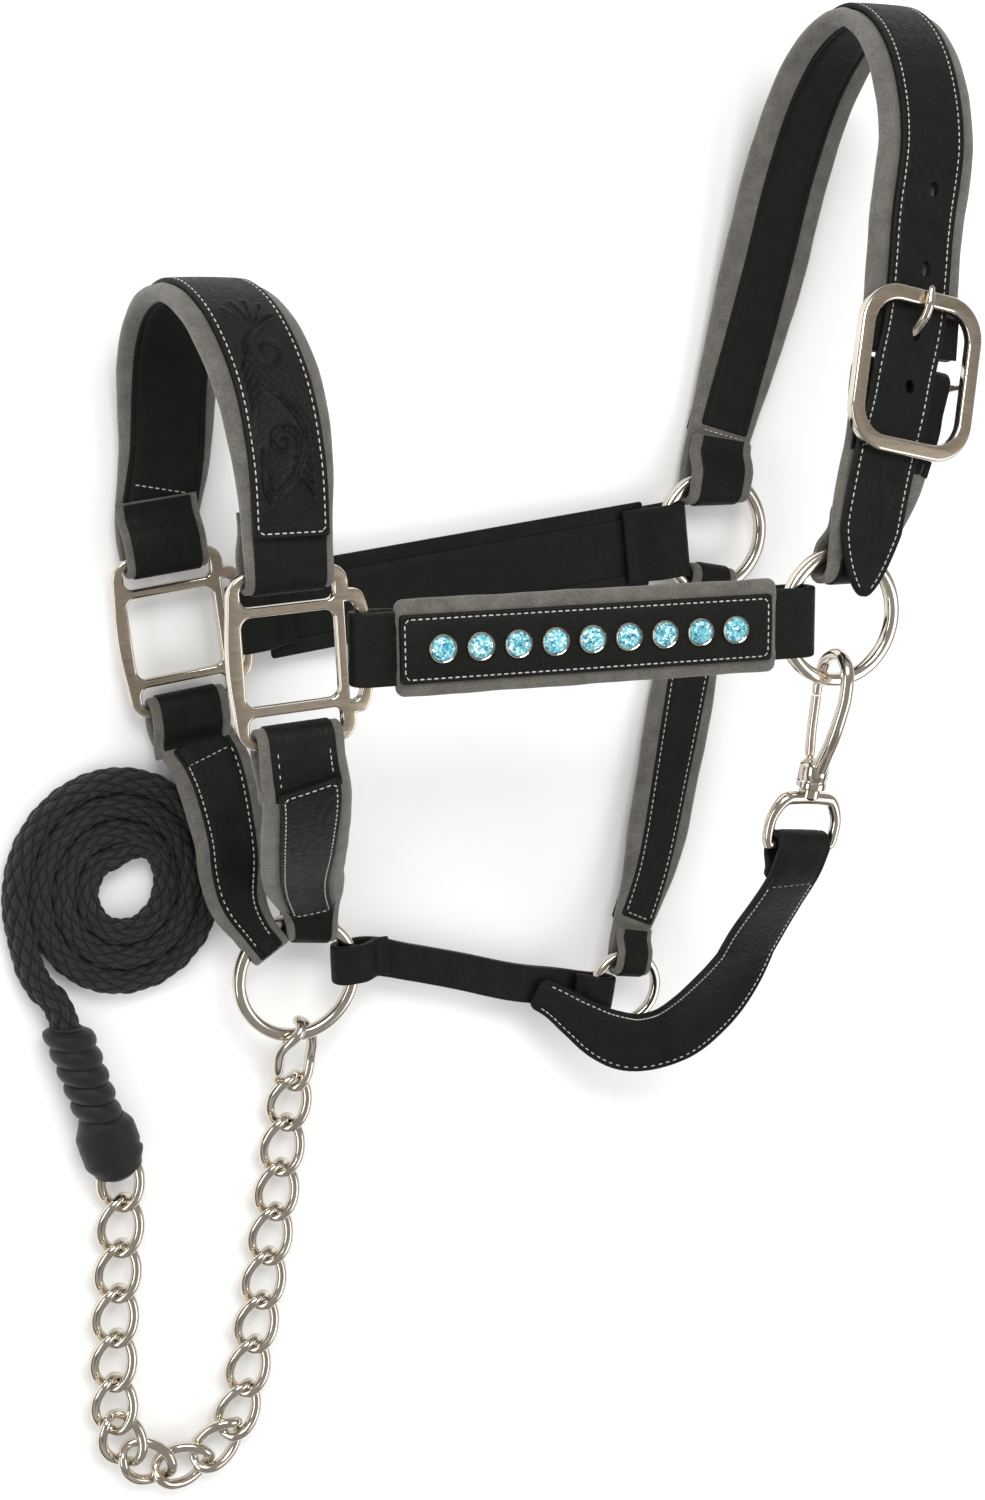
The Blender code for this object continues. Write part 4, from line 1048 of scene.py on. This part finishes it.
def tooling(lines, s_mid, depth=0.62, spread=0.5, margin=2.6):
    """Grooves with raised borders along flat lines, given as (s, u) about the place s_mid."""
    starts = np.vstack([line[:-1] for line in lines])
    span = np.vstack([line[1:] for line in lines]) - starts
    square_length = np.maximum(np.sum(span ** 2, 1), 1e-9)
    reach = np.abs(starts[:, 0]).max() + 4

    def relief(s, u, half):
        x = s - s_mid
        if abs(x) > reach:
            return 0 * u
        point = np.stack([np.full(u.shape, x), u], 1)[:, None]
        t = np.clip(np.sum((point - starts) * span, 2) / square_length, 0, 1)
        distance = np.linalg.norm(point - starts - span * t[..., None], axis=2).min(1)
        fade = np.clip((half - margin - np.abs(u)) / 1.0, 0, 1)
        shape = -np.exp(-(distance / spread) ** 2) + 0.5 * np.exp(-((distance - 2.5 * spread) / 0.7) ** 2)
        return depth * shape * fade

    return relief


def stroke(*points):
    return smooth([(*p, 0) for p in points], 0.8)[:, :2]


def scroll_relief(s_mid):
    """Tooled scrolls: an S stem with two volutes and a fan of leaves, as grooves in the leather."""
    lines = []

    def spiral(centre, r0, r1, start, sweep):
        t = np.linspace(0, 1, 60)
        a = np.radians(start + sweep * t)
        r = r0 + (r1 - r0) * t ** 0.8
        lines.append(np.stack([centre[0] + r * np.cos(a), centre[1] + r * np.sin(a)], 1))

    for shift in (0.0, 1.7):
        lines.append(stroke((-33, -6 + shift), (-24, 3 + shift), (-12, 7.5 + shift * 0.5),
                            (-2, 2.5 + shift), (8, -5.5 + shift), (20, -7 + shift), (29, 0.5 + shift * 0.5)))
        spiral((17, 1.5), 8.4 - shift, 1.2, -75, -470)
        spiral((-15, -1.0), 7.6 - shift, 1.2, 105, -450)
    for end in ((37, -8.5), (40, -3.5), (40, 1.8), (37, 6.6), (32, 9.5)):
        lines.append(stroke((27, 0.3), ((27 + end[0]) / 2 + 1.2, end[1] * 0.62), end))
    for k in range(5):
        lines.append(stroke((-27 + 3.4 * k, 1.5 + k * 0.6), (-29 + 3.6 * k, 5.5 + k * 0.5),
                            (-33.5 + 4 * k, 9.0)))
        lines.append(stroke((3 + 3.4 * k, -5.6), (1 + 3.4 * k, -8.4), (-3.4 + 3.6 * k, -10.4)))
    for k in range(4):
        lines.append(stroke((-36 + 2.2 * k, -7.5 + 0.6 * k), (-32 + 2.4 * k, -9.6 + 0.4 * k),
                            (-26 + 3 * k, -10.2 + 0.4 * k)))
    return tooling(lines, s_mid)


def off_bar(bar, offset, leave, distance):
    """The first two points of a run that starts beside a bar."""
    return [bar + offset, bar + offset + leave * distance]


def noseband():
    near_leave, far_leave = turned(Y, NEAR_SQUARE_TURN), turned(Y, FAR_SQUARE_TURN)
    radius = SQUARE_BAR_R + FOLD / 2
    near_bar = NEAR_SQUARE + near_leave * SQUARE_BAR_Y
    far_bar = FAR_SQUARE + far_leave * SQUARE_BAR_Y
    run = [*off_bar(near_bar, Z * radius, near_leave, 12), (-129.5, 140, 114.5),
           (-131.5, 167, 106.5), (-135, 188, 90), (-138, 198.5, 71), (-140, 200.5, 54),
           (-141, 195.5, 36), (-141, 182, 20), (-140.5, 163, 10.5), (-141, 138, 6.6),
           *off_bar(far_bar, -Z * radius, far_leave, 12)[::-1]]
    across = [turned(X, NEAR_SQUARE_TURN), X, X, turned(X, FAR_SQUARE_TURN)]
    band = Band(run, across, fold(near_bar, near_leave, Z, radius, 24),
                fold(far_bar, far_leave, -Z, radius, 24))
    thick = [(-0.01, 2.6), (0.03, 4.2), (0.09, BODY), (0.91, BODY), (0.97, 4.2), (1.01, 2.6)]
    sizes = [(0, 34), (0.32, 42), (0.68, 42), (1, 34)]
    strap = Padded("noseband", band, sizes, thick, ("noseband_padding", "noseband_strap"))
    strap.pad()
    end = band.length
    strap.chape("near_chape", band.low + 0.6, 19, 3.2)
    strap.chape("far_chape", end - 19, band.high - 0.6, 3.0)
    strap.lining(19, end - 19, 31)
    row, h = strap.strip(14, end - 14, 29, relief=scroll_relief(62), fine=64, step=0.55)
    inner = [[(27.5, -12), (27.5, 12)], [(end - 27.5, -12), (end - 27.5, 12)]]
    stitches("noseband_thread", band, [row], h)
    stitches("noseband_inner_thread", band, inner, -BODY / 2 - 0.62)


CHEEK_START, CHEEK_STOP = 0.06, 0.91


def cheek(side, bar, ring_at, ring_angle, face, bar_slack, ring_slack):
    chape = 28.0
    end_bar = fold_point(ring_at, ring_angle, RING_R, chape)
    leave = unit(end_bar - bar)
    face = unit(face - leave * (face @ leave))
    bar_radius = SQUARE_BAR_R + bar_slack + FOLD / 2
    end_radius = RING_WIRE + ring_slack + FOLD / 2
    a, b = bar + face * bar_radius, end_bar + face * end_radius
    run = [a, a + leave * 5, a * 0.65 + b * 0.35, a * 0.35 + b * 0.65, b - leave * 11, b]
    across = [-unit(np.cross(face, leave))]
    band = Band(run, across, fold(bar, leave, face, bar_radius, 22),
                fold(end_bar, -leave, face, end_radius, 25))
    return Padded(f"{side}_cheek", band, [(0, chape), (1, chape)], [(0, FOLD), (1, FOLD)],
                  (f"{side}_cheek_padding", f"{side}_cheek_strap"))


def cheek_layers(strap, chape_width, corner, lining, inset):
    """A cheek strap's folded chape, soft body, lining and stitched top strap."""
    band, end = strap.band, strap.band.length
    shape = loft(band, band.low, band.high, chape_width, -1.45, 1.5, edge=1.0, inset=1.6)
    make(f"{strap.name}_chape", *shape, BLACK)
    strap.thick = lambda s: value(BODY, s)
    strap.width = lambda s: value(37.0, s)
    strap.pad(end * 0.055, end * 0.93, corner)
    strap.lining(*lining, inset=inset)
    row, h = strap.strip(end * CHEEK_START, end * CHEEK_STOP, 26, corner=1.4, inset=1.7)
    stitches(f"{strap.name}_thread", band, [row], h)


def crystal(index, base, out):
    """A stone of many small facets in a thin polished cup."""
    rim = [(4.9, -0.2), (5.5, 0.0), (5.62, 0.7), (5.45, 1.35), (5.1, 1.62), (4.78, 1.45), (4.7, 1.0),
           (4.6, 0.2)]
    metal(f"crystal_{index}_cup", lathe(rim, base, out, 40))
    draw = random.Random(40 + index)
    a = unit(np.cross(out, X if abs(out[0]) < 0.9 else Y))
    b = np.cross(out, a)
    rows = [(4.75, 0.9), (4.5, 1.55), (3.7, 2.15), (2.5, 2.55), (1.2, 2.72)]
    counts = [24, 24, 18, 12, 6]
    points, rings = [], []
    for (radius, height), count in zip(rows, counts):
        ring = []
        for k in range(count):
            angle = 2 * math.pi * (k + draw.uniform(-0.2, 0.2)) / count
            r = radius + (draw.uniform(-0.22, 0.1) if height > 1 else 0)
            lift = height + (draw.uniform(-0.14, 0.14) if height > 1 else 0)
            ring.append(len(points))
            points.append(base + out * lift + a * r * math.cos(angle) + b * r * math.sin(angle))
        rings.append(ring)
    bm = bmesh.new()
    verts = [bm.verts.new(p) for p in points]
    top = bm.verts.new(base + out * 2.75)
    for outer, inner in zip(rings, rings[1:]):
        i = j = 0
        while i < len(outer) or j < len(inner):
            o, n = outer[i % len(outer)], inner[j % len(inner)]
            if j >= len(inner) or (i < len(outer) and (i + 1) / len(outer) <= (j + 1) / len(inner)):
                bm.faces.new((verts[o], verts[outer[(i + 1) % len(outer)]], verts[n]))
                i += 1
            else:
                bm.faces.new((verts[o], verts[inner[(j + 1) % len(inner)]], verts[n]))
                j += 1
    for k in range(len(rings[-1])):
        bm.faces.new((verts[rings[-1][k]], verts[rings[-1][(k + 1) % len(rings[-1])]], top))
    bm.faces.new([verts[k] for k in rings[0]])
    bm.verts.index_update()
    points = np.array([v.co[:] for v in bm.verts])
    faces = [tuple(v.index for v in f.verts) for f in bm.faces]
    bm.free()
    make(f"crystal_{index}_stone", points, faces, STONE, slot="aqua_crystal",
         stands_for=(f"crystal_{index}",), flat=True)


def cheeks():
    near_bar = NEAR_SQUARE + turned(X, NEAR_SQUARE_TURN) * SQUARE_BAR_X
    near = cheek("near", near_bar, NEAR_RING, 182, Z, GAP, 1.4)
    band, end = near.band, near.band.length
    cheek_layers(near, 28, 3.6, (24, end - 26, 29), 2.2)
    start, stop = end * CHEEK_START, end * CHEEK_STOP
    for i in range(9):
        place = start + (stop - start) * (0.107 + i * 0.0985)
        crystal(i + 1, band.at(place, 0.0, 5.75), unit(band.frames(np.array(place))[2]))

    far_bar = FAR_SQUARE + turned(X, FAR_SQUARE_TURN) * SQUARE_BAR_X
    far = cheek("far", far_bar, FAR_RING, 187, -Z, 0.0, RING_SLACK)
    end = far.band.length
    chape_width = lambda s: eased(s / end, [0.1, 0.9], [28, 33])
    cheek_layers(far, chape_width, 3.0, (end * 0.05, end * 0.935, 38.4), 6.5)


RING_FOLD_R = RING_WIRE + RING_SLACK + FOLD / 2
BILLET_WIDTH = 29.0
BILLET_TIP = 27
BILLET_INSET = 2.6
# How far beyond the buckle the two free strap holes lie.
FREE_HOLES = (47, 79)


def buckle_holder():
    """The padded piece that is folded round the near ring and holds the buckle's bar."""
    across, along, out = buckle_axes()
    bar = in_buckle(5, 0, -BUCKLE_BAR_DROP)
    bar_radius = 1.9 + GAP + FOLD / 2
    ring_bar = fold_point(NEAR_RING, 80, RING_R, 27)
    ring_leave = unit(vec(0.19, 0.975, 0.03))
    low = fold(ring_bar, ring_leave, Z, RING_FOLD_R + GAP, 22)
    high = fold(bar, -along, out, bar_radius, 24)
    run = [*off_bar(ring_bar, Z * (RING_FOLD_R + GAP), ring_leave, 14), in_buckle(0.5, -36, -5.4),
           in_buckle(3.2, -14, -5.4), bar + out * bar_radius]
    sizes = [(0, 27.5), (0.5, 40), (0.8, 43), (1, 43)]
    thick = [(0, 2.6), (0.10, 4.4), (0.22, BODY), (0.78, BODY - 0.6), (0.9, 3.4), (1, 2.6)]
    holder = Padded("buckle_holder", Band(run, [X, across], low, high), sizes, thick, ("buckle_chape",))
    pad = holder.pad()
    holder.chape("ring_chape", holder.band.low + 0.6, 26, 5.2)
    cover = holder.chape("bar_chape", holder.band.length - 36, holder.band.high - 0.6, 0.9)
    for piece in (pad, cover):
        slot = in_buckle(PRONG_X, 2.2, 1 - BUCKLE_BAR_DROP)
        cut_block(piece, slot, (4.6, 15.6, 18), (across, along, out))


def crown():
    """The padded crown from the buckle over the poll to the off ring."""
    far_bar = fold_point(FAR_RING, 87, RING_R, 31)
    far_leave = unit(vec(0.17, 0.985, 0))
    end_fold = fold(far_bar, far_leave, -Z, RING_FOLD_R, 24)
    arch = [in_buckle(4.5, 8, -4.9), in_buckle(3.2, 25, -4.7), (134, 226.75, 127.5), (143.5, 262, 119),
            (149.5, 293, 101), (152.5, 309.5, 81), (153.5, 314, 63), (152, 306, 45),
            (149.5, 287, 29), (145.5, 255, 16), (139, 215, 9.2), (131.5, 183, 6.7),
            *off_bar(far_bar, -Z * RING_FOLD_R, far_leave, 14)[::-1]]
    band = Band(arch, [X], (), end_fold)
    end = band.length
    sizes = [(0, 44), (0.72, 44), (1, 31.5)]
    thick = [(0, BODY), (0.93, BODY), (0.97, 4.4), (1.0, 2.6)]
    strap = Padded("crown", band, sizes, thick, ("crown_padding",))
    pad, lining = strap.pad(corner=3.0), strap.lining(24, end - 27, 25)
    cover = strap.chape("buckle_end", 0.4, 17, 0.4)
    for piece in (pad, cover):
        cut_block(piece, in_buckle(PRONG_X, 15.5, -3), (4.6, 24, 16), buckle_axes())
    strap.chape("off_chape", end - 22, band.high - 0.6, 5.0)
    stitches("crown_inner_thread", band, [[(end - 25, -11), (end - 25, 11)]], -BODY / 2 - 0.75)
    billet(band, [pad, lining])


def billet(band, under):
    """The long black strap on the crown, with its point, tooled leaves and holes."""
    first = [vec(101.5, 83, 146.0), vec(104.5, 108, 145.6), in_buckle(-3.5, -36), in_buckle(-0.5, -14),
             in_buckle(0.5, 0), in_buckle(2.5, 22)]
    spots = np.arange(35, band.length - 14, 12.0)
    top = Band([*first, *(band.at(s, 0.0, TOP) for s in spots)], [X])

    def tip(d):
        """A point with rounded sides."""
        x = np.clip((d + 0.25) / BILLET_TIP, 0, 1)
        return 0.6 * np.sqrt(1 - (1 - x) ** 2) + 0.4 * x

    leaves = tooling([stroke((52, -1), (44, -0.5), (37, 2), (28, 3.2), (17, 2.5)),
                      stroke((50, 6.5), (42, 6), (35, 4.5), (27, 4), (16, 2.8)),
                      stroke((47, 2.5), (40, 3), (33, 3.4), (24, 2.8)),
                      stroke((41, 9.6), (33, 8.6), (26, 6.4), (17, 3), (11, -0.5)),
                      stroke((46, -4.5), (38, -3.5), (30, -0.5), (22, 1.2), (13, 0))], 0, 0.34, 0.55, 3.6)
    sides = groove(BILLET_INSET, 0.4)

    def relief(s, u, half):
        creases = 0.09 * np.sin((s + 0.9 * u) / 0.95) * max(0.0, math.sin(s / 21.0)) * (s > 150)
        return sides(s, u, half) + leaves(s, u, half) + creases

    extra = np.cumsum(np.linspace(0.25, 1.1, 14))
    shape = loft(top, 0, top.length, BILLET_WIDTH, -1.2, 1.25, edge=0.75, crown=0.3, inset=BILLET_INSET,
                 relief=relief, tip=tip, fine=44, step=0.85, extra=extra)
    obj = make("crown_billet", *shape, BLACK, stands_for=("crown_strap",))
    for at, long in ((17.2, 8), (-5, 5.4)):
        cut_block(obj, in_buckle(PRONG_X, at), (4.4, long, 8), buckle_axes(), 24)
    start = top.s[np.argmin(np.linalg.norm(top.table[:, :3] - in_buckle(0.5, -5), axis=1))]
    for beyond in FREE_HOLES:
        _, side, normal, tangent = top.frames(np.array(start + beyond))
        hole = top.at(start + beyond, 2.0, -4)
        for piece in [obj, *under]:
            cut_block(piece, hole, (4.4, 6.0, 24), (side, tangent, normal), 24)
    places = np.linspace(3.2, top.length - 3, 160)
    edges = [max(float(BILLET_WIDTH / 2 * tip(s)) - BILLET_INSET, 0.4) for s in places]
    rows = [[(s, sign * edge) for s, edge in zip(places, edges)] for sign in (1, -1)]
    stitches("crown_thread", top, rows, 1.1)


def cut_block(obj, centre, size, axes, sides=4):
    """Cut a slot, or an oval hole where sides is large, through a piece."""
    bm = bmesh.new()
    if sides == 4:
        bmesh.ops.create_cube(bm, size=1.0)
    else:
        bmesh.ops.create_cone(bm, cap_ends=True, segments=sides, radius1=0.5, radius2=0.5, depth=1.0)
    mesh = bpy.data.meshes.new("slot_cutter")
    bm.to_mesh(mesh)
    bm.free()
    for v in mesh.vertices:
        local = sum(axis * (c * s) for axis, c, s in zip(axes, v.co, size))
        v.co = world(centre + local)
    cutter = bpy.data.objects.new("slot_cutter", mesh)
    bpy.context.scene.collection.objects.link(cutter)
    change = obj.modifiers.new("slot", "BOOLEAN")
    change.operation = "DIFFERENCE"
    change.object = cutter
    depsgraph = bpy.context.evaluated_depsgraph_get()
    cut = bpy.data.meshes.new_from_object(obj.evaluated_get(depsgraph))
    obj.modifiers.clear()
    obj.data = cut
    bpy.data.objects.remove(cutter, do_unlink=True)


# Thickness of a padded strap that thins towards both folds.
THIN_ENDS = [(0, 2.6), (0.06, 4.5), (0.12, BODY), (0.84, BODY), (0.93, 4.5), (1, 2.6)]


def chin_straps():
    radius = SQUARE_BAR_R + FOLD / 2
    ring_radius = RING_WIRE + RING_SLACK + GAP + FOLD / 2
    down = turned(-Y, NEAR_SQUARE_TURN)
    bar = NEAR_SQUARE + down * SQUARE_BAR_Y
    end_bar = fold_point(CHIN_RING, 75, RING_R, 18.5)
    rise, face = unit(vec(0.0, 0.94, 0.34)), unit(vec(0.0, -0.34, 0.94))
    run = [*off_bar(bar, Z * radius, down, 9), (-121, 17, 110), (-113.8, -8, 87), (-103, -31, 55),
           end_bar + face * ring_radius + rise * 13 - X * 2.2, end_bar + face * ring_radius]
    across = [turned(X, NEAR_SQUARE_TURN), X, turned(X, -8)]
    band = Band(run, across, fold(bar, down, Z, radius, 22),
                fold(end_bar, rise, face, ring_radius, 20), -1)
    sizes = [(0, 33.5), (0.35, 35.5), (0.7, 33.5), (1, 22.5)]
    arcs = tooling([stroke((19, 8.5), (20.5, 4), (26, 1.2), (37, 0.6)),
                    stroke((24, 9.2), (26, 6.4), (33, 4.4), (44, 4.2)),
                    stroke((62, -4), (58, 2), (60, 7.5))], 0, 0.22, 0.6, 3.2)
    strap, row, h = chin_strap("near_chin", band, sizes, THIN_ENDS, 15, 17, arcs)
    beside = [[(s, sign * 10.2) for s in (2.5, 14.0)] for sign in (-1, 1)]
    stitches("near_chin_thread", band, [row], h)
    stitches("near_chin_chape_thread", band, beside, lambda s, u: float(strap.thick(s)) / 2 + 0.6)

    down = turned(-Y, FAR_SQUARE_TURN)
    bar = FAR_SQUARE + down * SQUARE_BAR_Y
    end_bar = fold_point(CHIN_RING, 131, RING_R, 17.5)
    leave = turned(X, 126)
    run = [*off_bar(bar, -Z * radius, down, 9), (-127.5, 10, 14), (-123, -18, 22), (-121.5, -45, 25.6),
           *off_bar(end_bar, Z * ring_radius, leave, 8)[::-1]]
    across = [turned(X, FAR_SQUARE_TURN), X, turned(X, 12), turned(X, 32)]
    band = Band(run, across, fold(bar, down, -Z, radius, 20),
                fold(end_bar, leave, Z, ring_radius, 16, FOLD))
    sizes = [(0, 33), (0.3, 34), (0.6, 30.5), (1, 17.5)]
    thick = [(0, 2.6), (0.07, 4.5), (0.13, BODY), (0.62, BODY), (0.85, 4.5), (1, 2.6)]
    _, row, h = chin_strap("far_chin", band, sizes, thick, 14, 24)
    stitches("far_chin_thread", band, [row], h)


def chin_strap(name, band, sizes, thick, from_start, from_end, relief=None):
    """One chin strap. The off one shows its lining, which is sewn and runs down to the ring."""
    strap = Padded(name, band, sizes, thick, (f"{name}_padding", f"{name}_strap"))
    strap.pad()
    end = band.length
    strap.chape("square_chape", band.low + 0.6, from_start + 5, 3.9)
    strap.chape("ring_chape", end - from_end - 5, band.high - 0.6, 3.2)
    if name == "far_chin":
        strap.lining(16, end + 3.5, lambda s: eased(s / end, [0.1, 0.6, 0.95], [25, 20.5, 11.5]), 1.9,
                     (25.5, end - 4, True))
    else:
        strap.lining(25, end - from_end - 4, lambda s: eased(s / end, [0.1, 0.9], [24, 17]))
    width = lambda s: eased(s / end, [0.1, 0.9], [24, 18])
    row, h = strap.strip(from_start, end - from_end, width, relief=relief, fine=40 if relief else 0)
    return strap, row, h


def throat_straps():
    small_radius = SMALL_RING_WIRE + RING_SLACK + FOLD / 2
    start_bar = fold_point(CHIN_RING, 8, RING_R, 17)
    end_bar = fold_point(THROAT_RING, 180, SMALL_RING_R, 15)
    leave, end_leave = turned(X, 2), turned(X, 170)
    run = [*off_bar(start_bar, -Z * RING_FOLD_R, leave, 11), (-40, -86, 15.5), (-17, -93, 15.5),
           (12, -102.5, 15.5), *off_bar(end_bar, -Z * small_radius, end_leave, 9)[::-1]]
    across = [turned(-Y, 2), turned(-Y, -14), turned(-Y, -20), turned(-Y, -10)]
    band = Band(run, across, fold(start_bar, leave, -Z, RING_FOLD_R, 20, 5),
                fold(end_bar, end_leave, -Z, small_radius, 14, 5))
    end = band.length
    width = lambda s: eased(s / end, [0, 0.12, 0.2, 0.8, 1], [17, 17, 16, 17, 15])
    thick = lambda s: eased(s / end, [0, 0.09, 0.2, 0.8, 0.95], [1.5, 1.5, 2.5, 2.5, 1.5])
    crease = lambda s, u, half: -0.4 * np.exp(-((u + 3.2) / 0.5) ** 2) * (1 if 18 < s < end - 16 else 0)
    up = band.flipped()
    shape = loft(up, band.low, band.high, width, lambda s: -thick(s), thick, edge=1.0, crown=0.1,
                 relief=crease, fine=24)
    make("connecting_leather", *shape, BLACK, stands_for=("connecting_strap",))

    start_bar = fold_point(FAR_RING, 268, RING_R, 23)
    end_bar = fold_point(THROAT_RING, 80, SMALL_RING_R, 17)
    leave, end_leave = unit(vec(-0.2, -0.98, 0)), unit(vec(0.22, 0.97, -0.08))
    run = [*off_bar(start_bar, -Z * RING_FOLD_R, leave, 11), (96, -10, 6.4), (84, -58, 10),
           *off_bar(end_bar, -Z * small_radius, end_leave, 10)[::-1]]
    across = [turned(X, -10), turned(X, -13), turned(X, -10)]
    band = Band(run, across, fold(start_bar, leave, -Z, RING_FOLD_R, 20),
                fold(end_bar, end_leave, -Z, small_radius, 16))
    end = band.length
    sizes = [(0, 23), (0.32, 34), (0.6, 32), (1, 18)]
    strap = Padded("far_throat", band, sizes, THIN_ENDS, ("far_throat_padding", "far_throat_strap"))
    strap.pad()
    strap.chape("ring_chape", band.low + 0.6, 22, 4.0)
    strap.chape("throat_chape", end - 22, band.high - 0.6, 3.0)
    strap.lining(22, end - 19, lambda s: eased(s / end, [0.1, 0.9], [22, 17]))
    strap.strip(17, end - 17, lambda s: eased(s / end, [0.1, 0.9], [23, 17.5]))
    edge = [(s, float(eased(s / end, [0.1, 0.9], [9.0, 6.6]))) for s in np.linspace(24, end - 22, 40)]
    rows = [[(s, -u) for s, u in edge], edge, [(24, -8.5), (24, 8.5)], [(end - 21, -6), (end - 21, 6)]]
    stitches("far_throat_inner_thread", band, rows, -BODY / 2 - 0.42)

    bar = in_hook(0, EYE_BAR)
    eye_radius = 2.3 + 2 * GAP + FOLD / 2
    leave = unit(vec(-0.05, -0.9, -0.43))
    face = unit(Z - leave * leave[2])
    run = [*off_bar(bar, face * eye_radius, leave, 12), (87, -64, 100), (85, -92, 80),
           (81, -113, 62), (74, -127, 47), (62, -132, 36.5), (50, -128, 32.5), (38, -119.5, 28.5),
           (28, -111.5, 23), (20, -107, 19)]
    across = [HOOK_SIDE, X, X, vec(0.85, -0.45, 0.25), vec(0.35, -0.93, 0.1), vec(-0.35, -0.93, 0.0),
              vec(-0.3, -0.95, 0.0)]
    band = Band(run, across, fold(bar, leave, face, eye_radius, 17, FOLD))
    flip = 1 if float(band.frames(np.array(5.0))[2] @ Z) > 0 else -1
    band.table[:, 6:9] *= flip
    end = band.length
    width = lambda s: eased(s / end, [0.04, 0.3, 0.74, 1], [24.5, 29, 27, 15])
    shape = loft(band, band.low, band.high, width, -1.5, 1.5, edge=1.1, corner=4.0, crown=0.25, inset=2.2,
                 relief=groove(2.2, 0.3))
    make("near_throat_leather", *shape, BLACK, stands_for=("near_throat_strap",))
    rows = [[(s, sign * (float(width(np.array(s))) / 2 - 2.2)) for s in np.linspace(19, end - 5, 80)]
            for sign in (-1, 1)]
    stitches("near_throat_thread", band, [*rows, [(18, -9.5), (18, 9.5)]],
             lambda s, u: 1.3 + 0.25 * (1 - (u / (float(width(s)) / 2)) ** 2))


camera()
rope(chain())
square("near_square", NEAR_SQUARE, NEAR_SQUARE_TURN)
square("far_square", FAR_SQUARE, FAR_SQUARE_TURN)
for ring_name, ring_centre in (("near_ring", NEAR_RING), ("far_ring", FAR_RING), ("chin_ring", CHIN_RING)):
    metal_ring(ring_name, ring_centre, RING_R, RING_WIRE)
metal_ring("throat_ring", THROAT_RING, SMALL_RING_R, SMALL_RING_WIRE)
buckle()
prong()
snap()
noseband()
cheeks()
buckle_holder()
crown()
chin_straps()
throat_straps()
studio()
